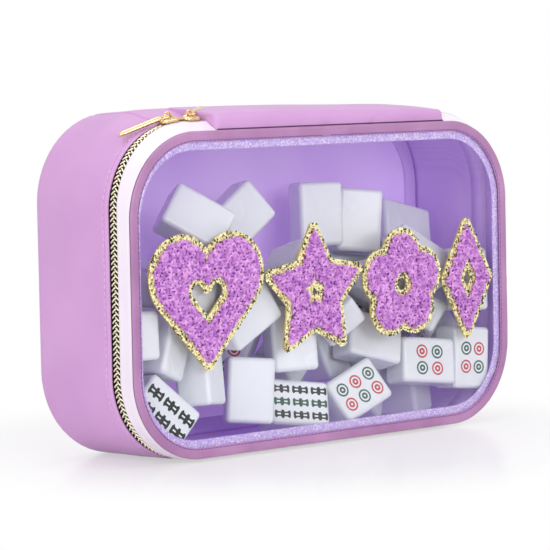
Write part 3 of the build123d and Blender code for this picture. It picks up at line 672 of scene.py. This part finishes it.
def liningSheet():
    walk = bodyRow(ringSteps(4.0), lining["back"] - lining["rimDepth"], lining["inset"] + 0.6)
    shares = [1.0, 0.97, 0.92, 0.86, 0.79, 0.71, 0.62, 0.52, 0.41, 0.29, 0.16, 0.04]
    return sheetShape(walk, shares, lining["back"], lining["waves"], 12.0)


def liningTape():
    steps = ringSteps(3.0)
    rows = []
    for inset, height in lining["tape"]:
        walk = bodyRow(steps, lining["back"] - lining["rimDepth"], lining["inset"] + 0.5 + inset)
        rows.append(atDepth(walk, lining["back"] - 0.9 - height))
    return skin(rows, wrapRows=True, wrapColumns=True)


addPiece("lining_band_cloth", liningBand(), "lining", "bag", ["lining_band"], thickness=-0.4)
addPiece("lining_back_cloth", liningSheet(), "liningBackLit", "bag", ["lining_back"])
addPiece("lining_seam_tape", liningTape(), "lining", "bag", ["seam_tape"])
print("lining made")

# Cover: binding, gusset, dark edge, ribbon and clear sheet. The binding wrinkles most on its front rows.
cover = {
    "wrinkle": 0.14, "wrinkleSize": 9.0, "fineWrinkleSize": 4.0, "frontRows": (3, 11), "backShare": 0.3,
    "edgeInset": 1.5, "edgeDepth": -36.2, "edgeRadius": 0.34,
    "binding": [
        (-35.9, 2.0), (-36.1, 1.5), (-36.4, 1.25), (-36.8, 1.2), (-37.2, 1.4), (-37.45, 1.8), (-37.58, 2.5),
        (-37.62, 3.4), (-37.6, 4.4), (-37.45, 5.5), (-37.2, 6.1), (-37.1, 6.35), (-37.15, 6.6),
        (-36.95, 6.95), (-36.65, 7.0), (-36.6, 6.0), (-36.6, 5.2), (-35.9, 5.0), (-35.3, 4.95), (-35.3, 2.6),
    ],
    # slightly hollow between its two seams
    "gusset": [
        (-36.3, 1.75), (-35.9, 1.35), (-34.8, 1.1), (-33.2, 0.95), (-31.4, 0.9), (-29.6, 0.82), (-28.2, 0.66),
        (-26.9, 0.5), (-26.55, 0.75), (-26.55, 1.7), (-28.4, 1.9), (-31.5, 2.1), (-34.8, 2.4), (-36.0, 2.5),
    ],
}


def bindingWave(walk, number):
    points = atDepth(walk, float(number))
    ripple = noiseAt(points, cover["wrinkleSize"], 1.7) + 0.5 * noiseAt(points, cover["fineWrinkleSize"], 7.3)
    ripple *= cover["wrinkle"]
    first, last = cover["frontRows"]
    return 0.5 * ripple, -0.8 * ripple * (1.0 if first <= number <= last else cover["backShare"])


ringFine = ringSteps(1.6)
addPiece("window_binding_tape", sweptRing(ringFine, cover["binding"], wave=bindingWave), "mauve", "cover",
         ["window_binding"])
addPiece("cover_gusset_band", sweptRing(zipSteps(1.6), cover["gusset"], closed=False), "pale", "cover",
         ["cover_gusset"])
edgeLine = atDepth(frontRing(ringFine, cover["edgeInset"]), cover["edgeDepth"])
addPiece("binding_edge_line", tube(edgeLine, cover["edgeRadius"], 6, closed=True, up=(0, 1, 0)), "darkLine",
         "cover")

# Ribbon with crosswise ribs and a scalloped inner edge. Its profile holds (y, inset, share of the scallop).
ribbon = {
    "grid": 0.5, "rib": 1.5, "ribHeight": 0.12, "scallop": 0.3, "outer": 5.05, "leftShare": 0.58,
    "profile": [
        (-35.7, 5.05, 0), (-35.72, 6.8, 0), (-35.74, 8.4, 0), (-35.74, 9.6, 0), (-35.7, 10.9, 0.6),
        (-35.6, 11.4, 1.0), (-35.35, 11.35, 1.0), (-35.25, 9.0, 0), (-35.25, 5.05, 0),
    ],
}


def ribbonShape():
    steps = ringSteps(ribbon["grid"])
    walk = frontRing(steps, ribbon["outer"])
    ribs = np.sin(np.arange(len(steps)) * 2 * math.pi * ribbon["grid"] / ribbon["rib"])
    # on the left side most of the ribbon lies under the binding
    left = np.array([{5: share, 6: 1.0, 7: 1 - share}.get(side, 0.0) for side, share in steps])
    width = 1 - (1 - ribbon["leftShare"]) * left
    rows = []
    for y, inset, scallop in ribbon["profile"]:
        draw = (inset - ribbon["outer"]) * width + scallop * ribbon["scallop"] * ribs
        rows.append(atDepth(walk, y + ribbon["ribHeight"] * ribs, -draw))
    return skin(rows, wrapRows=True, wrapColumns=True)


addPiece("window_ribbon", ribbonShape(), "lurex", "cover", ["trim_tape"])

# Clear sheet, a little uneven
pane = {"inset": 5.0, "front": -36.57, "thickness": 0.7, "waves": [(0.22, 46.0, 5.9)]}
paneWalk = frontRing(ringSteps(5.0), pane["inset"])
addPiece("window_sheet", sheetShape(paneWalk, np.linspace(1.0, 0.04, 22), pane["front"], pane["waves"], 10.0),
         "vinyl", "cover", ["window"], thickness=pane["thickness"])

# Stitches that hold the binding, close to its inner edge
bindStitch = {"length": 2.0, "pitch": 2.6, "radius": 0.26, "inset": 6.3, "depth": -37.2}
bindLine = atDepth(frontRing(ringFine, bindStitch["inset"]), bindStitch["depth"])
bindOut = np.tile((0.0, -1.0, 0.0), (len(ringFine), 1))
addPiece("binding_stitches", stitchRow(bindLine, bindOut, bindStitch), "dullThread", "cover")
print("cover made")

# Zip: coil loops on both tapes, slanted towards the middle, and the dark tapes that carry them.
# A loop's points are shares of its reach across the tapes, its height and its slant.
# The coil's pitch is about 1.5 mm in a real zip of this size, drawn coarser, as the photograph shows it.
coil = {
    "pitch": 2.8, "wire": 0.48, "slant": 2.0, "rise": 0.55, "inset": 1.8, "reach": 0.3, "half": 2.6,
    "sunk": 0.4,
    "loop": [(0.1, 0.4, -0.55), (0.2, 0.85, -0.4), (0.5, 1.0, 0.0), (0.85, 0.85, 0.4), (1.0, 0.1, 0.5),
             (0.8, -0.7, 0.4)],
}


def coilRow(tapeY, headY, shift):
    walk = frontRing(zipSteps(1.0), coil["inset"], bag["zipRise"])
    total = np.r_[0, np.cumsum(np.linalg.norm(np.diff(walk[:, :2], axis=0), axis=1))]
    shapes = []
    for start in np.arange(1.0 + shift, total[-1] - 1.0, coil["pitch"]):
        path = []
        for across, rise, forward in coil["loop"]:
            place = start + forward * coil["slant"]
            x, z, outX, outZ = (np.interp(place, total, walk[:, axis]) for axis in range(4))
            height = rise * coil["rise"]
            path.append((x + outX * height, tapeY + across * (headY - tapeY), z + outZ * height))
        shapes.append(tube(path, coil["wire"], 6))
    return joinShapes(shapes)


def tapeBand(front, back, inset):
    profile = [(front, inset), ((front + back) / 2, inset - 0.05), (back, inset), (back, inset + 0.4),
               (front, inset + 0.4)]
    return sweptRing(zipSteps(2.0), profile, closed=False)


zipLine, half, reach = bag["zipLine"], coil["half"], coil["reach"]
addPiece("cover_coil", coilRow(zipLine - half - coil["sunk"], zipLine + reach, 0.0), "coil", "cover",
         ["cover_teeth"])
addPiece("tray_coil", coilRow(zipLine + half, zipLine - reach, coil["pitch"] / 2), "coil", "bag",
         ["tray_teeth"])
addPiece("tray_zip_tape", tapeBand(-23.0, -13.5, 2.2), "tape", "bag", ["zip_tape"])
addPiece("cover_zip_tape", tapeBand(-29.5, -23.3, 2.2), "tape", "cover")
# Inside, both tapes are covered with lilac facings
addPiece("tray_zip_facing", tapeBand(-23.0, -11.5, 2.7), "lining", "bag")
addPiece("cover_zip_facing", tapeBand(-34.6, -23.3, 2.7), "lining", "cover")
softEdge = dressNode("end_stops", "gilt").modifiers.new("rounded", "BEVEL")
softEdge.width = 0.4 * mm
softEdge.segments = 3
print("zip made")

# Sliders: a domed plate, a bail over it, a bridge and an inner plate.
# Heights stand over the plate's underside, at plateIn from the corner's centre, or from that centre.
slider = {
    "centre": (-96.0, 134.0), "rowRadius": 45.5, "plateIn": 46.65, "plate": 1.4, "halfLength": 5.5,
    "halfWidth": 4.8, "power": 0.62, "pivotHeight": 1.9, "bailWire": 0.8, "left": -6.353, "right": 8.2,
    "sides": 40,
    "dome": [(0.02, 0.0), (0.9, 0.0), (0.97, 0.12), (1.0, 0.45), (1.0, 1.2), (0.96, 1.65), (0.88, 1.95),
             (0.7, 2.25), (0.4, 2.4), (0.02, 2.45)],
    "arch": [(4.6, 0.0, 0.9), (3.6, 0.5, 1.0), (2.5, 1.0, 0.9), (2.05, 1.7, 0.75), (1.85, 2.7, 0.7),
             (1.1, 3.7, 0.7)],
    "archTop": (0.0, 4.0, 0.7),
    "inner": [(0.05, 43.3), (0.92, 43.3), (1.0, 43.6), (1.0, 44.0), (0.92, 44.3), (0.05, 44.3)],
    "innerHalves": (4.75, 1.3), "innerAside": 1.1, "innerPower": 0.6,
    "bridge": [(-2, 2), (-0.25, 0.25), (43.4, 46.9)],
}


# From place along the zip, across it and reach from the corner's centre, to the bag's frame.
# Along is 0 where the left corner ends and the straight top begins.
def onZip(points, middle):
    points = np.asarray(points, float)
    along, reach = middle + points[:, 0], points[:, 2]
    turn = np.maximum(-along, 0) / slider["rowRadius"]
    centreX, centreZ = slider["centre"]
    return np.c_[centreX - reach * np.sin(turn) + np.maximum(along, 0), bag["zipLine"] + points[:, 1],
                 centreZ + reach * np.cos(turn)]


# A round made squarer: values from -1 to 1, raised to a power below 1
def squarer(values, power):
    return np.sign(values) * np.abs(values) ** power


# An outline's rings one over another, each (share of the outline, height), round a place beside the zip line
def ringStack(middle, along, over, levels, aside=0.0):
    rings = []
    for share, height in levels:
        rings.append(np.c_[along * share, aside + over * share, np.full(len(along), height)])
    return skin([onZip(ring, middle) for ring in rings], wrapColumns=True, caps=(0, -1))


def sliderShape(middle, flip):
    turns = np.arange(slider["sides"]) * 2 * math.pi / slider["sides"]
    along = squarer(np.cos(turns), slider["power"]) * slider["halfLength"]
    ahead = along * flip
    waist = 1 - 0.14 * bell(ahead + 1.2, 2.4) - 0.08 * np.clip(ahead / slider["halfLength"], 0, 1)
    over = squarer(np.sin(turns), slider["power"]) * slider["halfWidth"] * waist
    dome = [(share, slider["plateIn"] + height) for share, height in slider["dome"]]
    plate = ringStack(middle, along, over, dome)

    leftArch = [(-along, height, share) for along, height, share in slider["arch"]]
    arch = leftArch + [slider["archTop"]] + slider["arch"][::-1]
    foot = slider["plateIn"] + slider["plate"] + 0.1
    path = onZip([(along, 0.0, foot + height) for along, height, share in arch], middle)
    wire = slider["bailWire"] * np.array([share for along, height, share in arch])
    bail = tube(path, wire, 10, flat=1.25, up=(0, 1, 0))

    xs, ys, zs = slider["bridge"]
    bridge = onZip([(x, y, z) for x in xs for y in ys for z in zs], middle)
    bridgeFaces = [(0, 1, 3, 2), (4, 6, 7, 5), (0, 4, 5, 1), (2, 3, 7, 6), (0, 2, 6, 4), (1, 5, 7, 3)]

    along = squarer(np.cos(turns), slider["innerPower"]) * slider["innerHalves"][0]
    over = squarer(np.sin(turns), slider["innerPower"]) * slider["innerHalves"][1]
    inner = ringStack(middle, along, over, slider["inner"], slider["innerAside"])
    return joinShapes([plate, bail, (bridge, bridgeFaces), inner])


# Pull on the bail's pin: an eye of wire, and a bar crowned on its upper face with a bevel on both lower
# edges. The bar's sections hold (place from the pin, half width, half thickness).
pull = {
    "eyeHalf": 2.56, "eyeEnd": 4.1, "wire": 0.5, "crown": 2.3,
    "leftYaw": 20.0, "leftLean": -12.0, "rightYaw": 35.0, "rightLean": 5.0,
    "sections": [(3.5, 0.9, 0.5), (4.3, 1.45, 0.66), (5.7, 1.55, 0.74), (10.0, 1.5, 0.75), (18.0, 1.7, 0.75),
                 (24.5, 1.95, 0.75), (26.8, 2.0, 0.72), (28.1, 1.6, 0.66), (28.75, 0.9, 0.5),
                 (29.0, 0.25, 0.2)],
    "round": [(1, 0), (0.86, 0.62), (0.45, 1), (0, 1.04), (-0.45, 1), (-0.86, 0.62), (-1, 0), (-0.86, -0.62),
              (-0.45, -1), (0, -1.04), (0.45, -1), (0.86, -0.62)],
}


def pullShape(middle, side, yaw, lean):
    turn, yaw, lean = max(-middle, 0) / slider["rowRadius"], math.radians(yaw), math.radians(lean)
    origin = onZip([(0, 0, slider["plateIn"] + slider["plate"] + slider["pivotHeight"])], middle)[0]
    along = np.array([math.cos(turn), 0, math.sin(turn)]) * side
    out = np.array([-math.sin(turn), 0, math.cos(turn)])
    flat = along * math.cos(yaw) + np.array([0, 1.0, 0]) * math.sin(yaw)
    direction = flat * math.cos(lean) + out * math.sin(lean)
    across = np.cross(flat, out)
    up = np.cross(across, direction)

    end, half = pull["eyeEnd"], pull["eyeHalf"]
    halfLoop = [(0.0, half - 0.6), (0.5, half - 0.05), (1.2, half), (end - 1.3, half),
                (end - 0.4, half - 0.5), (end + 0.1, half - 1.5)]
    loop = [(x, y, 0.0) for x, y in halfLoop] + [(x, -y, 0.0) for x, y in reversed(halfLoop)]
    eye = tube(loop, pull["wire"], 10, closed=True, up=(0, 0, 1))

    rows = []
    for x, halfWidth, thick in pull["sections"]:
        crown = thick * pull["crown"]
        rows.append([(x, halfWidth * y, (crown if z > 0 else thick) * z) for y, z in pull["round"]])
    points, faces = joinShapes([eye, skin(rows, wrapColumns=True, caps=(0, -1))])
    return origin + points @ np.array([direction, across, up]), faces


for name, side in (("left", -1), ("right", 1)):
    addPiece(f"{name}_slider_body", sliderShape(slider[name], -side), "gilt", f"{name}_slider",
             [f"{name}_slider"])
    barShape = pullShape(slider[name], side, pull[name + "Yaw"], pull[name + "Lean"])
    addPiece(f"{name}_pull_bar", barShape, "gilt", f"{name}_pull", [f"{name}_pull"])
print("sliders made")

# Patches: a glitter card under a pad of looped yarn
patch = {
    "shapes": ["heart", "star", "flower", "diamond"], "feltFront": -37.775, "pileFront": -40.375, "seed": 40,
    "cell": 0.8, "padShare": 0.55, "padRim": 1.3, "loopPitch": 2.0, "loopJitter": 0.5, "loopShare": 0.62,
    "loopRadius": 1.35, "yarn": 0.68, "clump": 5.5, "clumpRise": 0.9, "rim": 3.0,
    "flakePitch": 0.62, "flakeJitter": 0.4, "flake": 0.52, "darkFlake": 1.5, "flakeTilt": 0.2,
    "flakeShares": {"flakeLight": 0.78, "flakeDeep": 0.1, "flakeDark": 0.12},
}


# Triangles of a CAD node's front face, as (x, z) corners, and the edges that only one of them has
def frontFace(node):
    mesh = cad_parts[node].data
    mesh.calc_loop_triangles()
    corners = np.array([v.co for v in mesh.vertices], float) / mm
    front = corners[:, 1].min()
    triangles = [tuple(t.vertices) for t in mesh.loop_triangles
                 if all(corners[v][1] < front + 0.01 for v in t.vertices)]
    flat = np.round(corners[:, [0, 2]], 3)
    seen = {}
    for triangle in triangles:
        keys = [tuple(flat[v]) for v in triangle]
        for number in range(3):
            edge = frozenset((keys[number], keys[(number + 1) % 3]))
            seen[edge] = seen.get(edge, 0) + 1
    border = np.array([sorted(edge) for edge, count in seen.items() if count == 1 and len(edge) == 2])
    return np.array([[flat[v] for v in t] for t in triangles]), border


def insideFace(points, triangles):
    found = np.zeros(len(points), bool)
    for corners in triangles:
        sides = []
        for a, b in zip(corners, np.roll(corners, -1, 0)):
            sides.append((b[0] - a[0]) * (points[:, 1] - a[1]) - (b[1] - a[1]) * (points[:, 0] - a[0]))
        found |= (np.min(sides, axis=0) >= 0) | (np.max(sides, axis=0) <= 0)
    return found


def borderDistance(points, border):
    nearest = np.full(len(points), 1e9)
    for a, b in border:
        along = b - a
        share = np.clip(((points - a) @ along) / (along @ along), 0, 1)
        nearest = np.minimum(nearest, np.linalg.norm(points - (a + share[:, None] * along), axis=1))
    return nearest


# Points inside a face, in staggered rows, each a little out of place
def scatterPoints(triangles, pitch, jitter, chance):
    low, high = triangles.reshape(-1, 2).min(0), triangles.reshape(-1, 2).max(0)
    points = []
    for row, z in enumerate(np.arange(low[1], high[1] + pitch, pitch * 0.87)):
        for x in np.arange(low[0] + (row % 2) * pitch / 2, high[0] + pitch, pitch):
            points.append((x + chance.uniform(-jitter, jitter), z + chance.uniform(-jitter, jitter)))
    points = np.array(points)
    return points[insideFace(points, triangles)]


# Crowned pad under the loops, from a grid of cells inside the outline
def padShape(triangles, border, height):
    cell = patch["cell"]
    low, high = triangles.reshape(-1, 2).min(0) - cell, triangles.reshape(-1, 2).max(0) + cell
    xs, zs = np.arange(low[0], high[0], cell), np.arange(low[1], high[1], cell)
    flat = np.array([(x, z) for z in zs for x in xs])
    depth = borderDistance(flat, border)
    front = patch["feltFront"] - height * (1 - np.exp(-depth / patch["padRim"]))
    number, points, faces = {}, [], []
    for index in np.flatnonzero(insideFace(flat, triangles) & (depth > 0.25)):
        number[index] = len(points)
        points.append((flat[index][0], front[index], flat[index][1]))
    columns = len(xs)
    for index in number:
        square = (index, index + 1, index + columns + 1, index + columns)
        if (index + 1) % columns and all(corner in number for corner in square):
            faces.append(tuple(number[corner] for corner in square))
    return points, faces


# One open curl of yarn
def curl(place, size, chance):
    turns = np.linspace(0.2, 1.75 * math.pi, 8) + chance.uniform(0, 2 * math.pi)
    lean, spin = chance.uniform(0.3, 1.2), chance.uniform(0, 2 * math.pi)
    ring = np.c_[np.cos(turns), np.sin(turns) * math.cos(lean), np.sin(turns) * math.sin(lean)] * size
    x = ring[:, 0] * math.cos(spin) - ring[:, 1] * math.sin(spin)
    z = ring[:, 0] * math.sin(spin) + ring[:, 1] * math.cos(spin)
    return tube(np.c_[place[0] + x, place[1] - ring[:, 2] * 0.7, place[2] + z],
                patch["yarn"] * chance.uniform(0.85, 1.15), 5)


def loopShapes(triangles, border, height, order, chance):
    curls = []
    for x, z in scatterPoints(triangles, patch["loopPitch"], patch["loopJitter"], chance):
        depth = borderDistance(np.array([(x, z)]), border)[0]
        size = patch["loopRadius"] * chance.uniform(0.75, 1.15) * min(1.0, 0.45 + depth / patch["rim"])
        lift = height * patch["loopShare"] * (1 - math.exp(-(depth + 0.5) / patch["padRim"]))
        clump = noise.noise(Vector((x, 7.0 * order, z)) / patch["clump"])
        lift += patch["clumpRise"] * min(1.0, depth / patch["rim"]) * clump
        curls.append(curl((x, patch["feltFront"] - lift, z), size, chance))
    return joinShapes(curls)


# Flat six-sided flakes, sorted by finish
def flakeShapes(triangles, chance):
    pitch, shares = patch["flakePitch"], patch["flakeShares"]
    shapes = {tone: [] for tone in shares}
    for x, z in scatterPoints(triangles, pitch, pitch * patch["flakeJitter"], chance):
        tone = chance.choices(list(shares), shares.values())[0]
        size = patch["flake"] * chance.uniform(0.7, 1.25)
        size *= patch["darkFlake"] if tone == "flakeDark" else 1.0
        tiltX, tiltZ = chance.gauss(0, patch["flakeTilt"]), chance.gauss(0, patch["flakeTilt"])
        turn = chance.uniform(0, 1)
        corners = []
        for number in range(6):
            angle = (number / 6 + turn) * 2 * math.pi
            dx, dz = size * math.cos(angle), size * math.sin(angle)
            y = patch["feltFront"] - 0.1 - chance.uniform(0, 0.03) + dx * tiltX + dz * tiltZ
            corners.append((x + dx, y, z + dz))
        shapes[tone].append((corners, [tuple(range(6))]))
    return shapes


for order, shape in enumerate(patch["shapes"]):
    chance = random.Random(patch["seed"] + order)
    pile = frontFace(f"{shape}_pile")
    dressNode(f"{shape}_felt", "film")
    height = patch["feltFront"] - patch["pileFront"]
    # the pad's dark yarn finish is painted shade between the loops
    addPiece(f"{shape}_pad", padShape(*pile, height * patch["padShare"]), "yarnShade", "cover",
             [f"{shape}_pile"], thickness=0.3)
    addPiece(f"{shape}_loops", loopShapes(*pile, height, order, chance), "yarn", "cover")
    for tone, flakes in flakeShapes(frontFace(f"{shape}_felt")[0], chance).items():
        addPiece(f"{shape}_{tone}", joinShapes(flakes), tone, "cover", facets=True)
print("patches made")

# The photograph's view: focal length and middle in its pixels, the rest in degrees and millimetres
camera = {
    "focal": 3002.05, "yaw": 43.03, "pitch": 3.47, "roll": -1.125, "distance": 1633.1,
    "target": (-22.376, -37.625, 113.407), "middle": (300.4, 240.96), "side": 550, "sensor": 36.0,
}
yaw, pitch, roll = (math.radians(camera[key]) for key in ("yaw", "pitch", "roll"))
forward = np.array([math.sin(yaw) * math.cos(pitch), math.cos(yaw) * math.cos(pitch), -math.sin(pitch)])
level = np.array([math.cos(yaw), -math.sin(yaw), 0.0])
upright = np.cross(level, forward)
rightWay = level * math.cos(roll) + upright * math.sin(roll)
upWay = upright * math.cos(roll) - level * math.sin(roll)

# Tiles keep their CAD shape. Marks lie on the faces towards the camera, on tiles no higher than highest.
# A pattern is (columns, rows) of bamboo sticks, with a knobbed outline, or of ringed dots.
tiles = {
    "thick": 19.5, "markHeight": 0.05, "highest": 75.0,
    "patterns": {"bamboo": [(2, 2), (2, 3), (3, 3)], "dot": [(2, 3), (2, 2)]},
    "rowPitch": {"bamboo": 11.5, "dot": 10.5}, "dotPitch": 9.5, "stickPitch": {2: 9.4, 3: 7.2},
    "stick": 9.8, "stickShare": 0.66, "slot": [(1.2, -0.45), (3.4, -0.45), (3.4, 0.45), (1.2, 0.45)],
    "knobs": [(0.5, 0.55), (0.42, 1.0), (0.3, 0.62), (0.12, 0.55), (0.06, 1.0), (-0.06, 1.0), (-0.12, 0.55),
              (-0.3, 0.62), (-0.42, 1.0), (-0.5, 0.55)],
    "rings": [(3.9, 0.0), (2.9, 0.02), (1.9, 0.04), (0.7, 0.06)],
}
for kind in ("bamboo", "dot", "plain", "blank"):
    mesh = dressNode(f"{kind}_tiles", "tile").data
    mesh.polygons.foreach_set("use_smooth", [True] * len(mesh.polygons))


# Middle and axes (long, wide, thick) of each tile in a node
def tileFrames(nodeName):
    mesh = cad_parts[nodeName].data
    corners = np.array([v.co for v in mesh.vertices], float) / mm
    keys = {}
    group = [keys.setdefault(tuple(point), len(keys)) for point in np.round(corners, 3)]
    owner = list(range(len(keys)))

    def root(number):
        while owner[number] != number:
            owner[number] = owner[owner[number]]
            number = owner[number]
        return number

    for polygon in mesh.polygons:
        first = root(group[polygon.vertices[0]])
        for vertex in polygon.vertices[1:]:
            owner[root(group[vertex])] = first
    areas = {}
    for polygon in mesh.polygons:
        directions = areas.setdefault(root(group[polygon.vertices[0]]), {})
        key = tuple(np.round(polygon.normal, 2))
        total, vector = directions.get(key, (0.0, np.zeros(3)))
        directions[key] = (total + polygon.area, vector + np.array(polygon.normal) * polygon.area)
    frames = []
    for member, directions in sorted(areas.items()):
        ranked = [v / np.linalg.norm(v) for area, v in sorted(directions.values(), key=lambda item: -item[0])]
        thick = ranked[0]
        wide = next(v for v in ranked if abs(v @ thick) < 0.05)
        axes = np.array([np.cross(wide, thick), wide, thick])
        local = corners[[index for index, g in enumerate(group) if root(g) == member]] @ axes.T
        frames.append(((local.max(0) + local.min(0)) / 2 @ axes, *axes))
    return frames


# Adds a tile's marks to the list of their ink, each as one flat outline
def markTile(kind, columns, rows, middle, longAxis, wide, thick):
    top = middle + thick * (tiles["thick"] / 2 + tiles["markHeight"])

    def lay(outline, ink, lift=0.0):
        points = [top + longAxis * u + wide * v + thick * lift for u, v in outline]
        marks[ink].append((points, [tuple(range(len(points)))]))

    pitch = tiles["stickPitch"][columns] if kind == "bamboo" else tiles["dotPitch"]
    for row in range(rows):
        for column in range(columns):
            u, v = (row - (rows - 1) / 2) * tiles["rowPitch"][kind], (column - (columns - 1) / 2) * pitch
            if kind == "bamboo":
                half = pitch * tiles["stickShare"] / 2
                outline = [(share, across) for share, across in tiles["knobs"]]
                outline += [(share, -across) for share, across in reversed(tiles["knobs"])]
                lay([(u + tiles["stick"] * share, v + half * across) for share, across in outline],
                    "inkGreen" if columns == 3 and column == 1 else "inkDark")
                for end in (-1, 1):
                    lay([(u + end * du, v + dv) for du, dv in tiles["slot"]], "tile", 0.03)
            else:
                for number, (radius, lift) in enumerate(tiles["rings"]):
                    ink = "tile" if number % 2 else "inkRed" if (row + column) % 2 else "inkGreen"
                    lay([(u + radius * math.cos(a), v + radius * math.sin(a))
                         for a in np.linspace(0, 2 * math.pi, 25)[:-1]], ink, lift)


marks = {"inkDark": [], "inkGreen": [], "inkRed": [], "tile": []}
for kind, patterns in tiles["patterns"].items():
    for number, (middle, longAxis, wide, thick) in enumerate(tileFrames(f"{kind}_tiles")):
        if middle[2] <= tiles["highest"]:
            facing = -1 if thick @ forward > 0 else 1
            markTile(kind, *patterns[number % len(patterns)], middle, longAxis, wide * facing, thick * facing)
for ink, shapes in marks.items():
    if shapes:
        addPiece(f"tile_marks_{ink}", joinShapes(shapes), ink, "bag", facets=True)
print("tiles marked")

# Floor, backdrop, lamps and camera
studio = {
    "floor": "#FAF8FC", "floorRough": 0.22, "floorHalf": 6.0, "floorGlow": 0.5, "nearGlow": 0.13,
    "farGlow": 0.25, "ambient": 0.42,
    "lamps": {
        "key": {"place": (0.9, -1.7, 1.5), "aim": (0, 0, 0.08), "size": (1.2, 1.0), "power": 7.0},
        "front": {"place": (-0.55, -2.1, 0.62), "aim": (0, 0, 0.1), "size": (1.0, 0.8), "power": 13.0},
        "fill": {"place": (-1.9, -0.7, 0.8), "aim": (0, 0, 0.1), "size": (1.2, 1.2), "power": 11.5},
        "top": {"place": (-0.1, 0.3, 1.9), "aim": (0, 0, 0.1), "size": (1.4, 1.4), "power": 11.5},
    },
}


# 1 for rays that reach the camera straight, by a mirror or through a clear sheet, and 0 for light on its way
def lookingRays(add):
    path = add("LightPath")
    either = add("Math", {"operation": "MAXIMUM"}, {0: (path, "Is Camera Ray"), 1: (path, "Is Glossy Ray")})
    return add("Math", {"operation": "MAXIMUM"}, {0: (either, "Value"), 1: (path, "Is Transmission Ray")})


# White paper that fades into the white room away from the bag
def stageMaterial():
    material, add, spot = startMaterial("paper_floor")
    paper = add("BsdfPrincipled", {
        "Base Color": linear(studio["floor"]), "Roughness": studio["floorRough"], "Specular IOR Level": 0.45,
    })
    glow = add("Emission", {"Color": (1, 1, 1, 1), "Strength": 1.0})
    reach = add("VectorMath", {"operation": "LENGTH"}, {0: spot["Vector"]})
    fade = add("MapRange", {
        "From Min": studio["nearGlow"], "From Max": studio["farGlow"], "To Min": studio["floorGlow"],
        "interpolation_type": "SMOOTHSTEP",
    }, {"Value": (reach, "Value")})
    share = add("Math", {"operation": "MULTIPLY"}, {0: (lookingRays(add), "Value"), 1: (fade, "Result")})
    mixed = add("MixShader", {}, {0: (share, "Value"), 1: (paper, "BSDF"), 2: (glow, "Emission")})
    add("OutputMaterial", {}, {"Surface": (mixed, "Shader")})
    return material


floorMesh = bpy.data.meshes.new("floor")
far = studio["floorHalf"]
floorMesh.from_pydata([(-far, -far, 0), (far, -far, 0), (far, far, 0), (-far, far, 0)], [], [(0, 1, 2, 3)])
floorMesh.materials.append(stageMaterial())
addObject("floor", floorMesh)

scene = bpy.context.scene
scene.world = bpy.data.worlds.new("studio")
scene.world.use_nodes = True
scene.world.node_tree.nodes.clear()
add = partial(addNode, scene.world.node_tree)
room = add("Background", {"Color": (1, 1, 1, 1), "Strength": studio["ambient"]})
white = add("Background", {"Color": (1, 1, 1, 1), "Strength": 1.0})
backdrop = add("MixShader", {}, {
    0: (lookingRays(add), "Value"), 1: (room, "Background"), 2: (white, "Background"),
})
add("OutputWorld", {}, {"Surface": (backdrop, "Shader")})

for name, lamp in studio["lamps"].items():
    data = bpy.data.lights.new(name, "AREA")
    data.shape = "RECTANGLE"
    data.size, data.size_y = lamp["size"]
    data.energy = lamp["power"]
    lampObject = addObject(name, data)
    lampObject.location = lamp["place"]
    lampObject.rotation_mode = "QUATERNION"
    lampObject.rotation_quaternion = (Vector(lamp["aim"]) - Vector(lamp["place"])).to_track_quat("-Z", "Y")

side = camera["side"]
cameraData = bpy.data.cameras.new("camera")
cameraData.sensor_width = camera["sensor"]
cameraData.lens = camera["focal"] / side * camera["sensor"]
cameraData.shift_x = (side / 2 - camera["middle"][0]) / side
cameraData.shift_y = (camera["middle"][1] - side / 2) / side
cameraData.clip_start, cameraData.clip_end = 0.05, 40
eye = (np.array(camera["target"]) - forward * camera["distance"]) * mm
scene.camera = addObject("camera", cameraData)
scene.camera.matrix_world = Matrix(np.vstack([np.c_[rightWay, upWay, -forward, eye], (0, 0, 0, 1)]).tolist())
scene.view_settings.view_transform = "Standard"

print("scene ready")
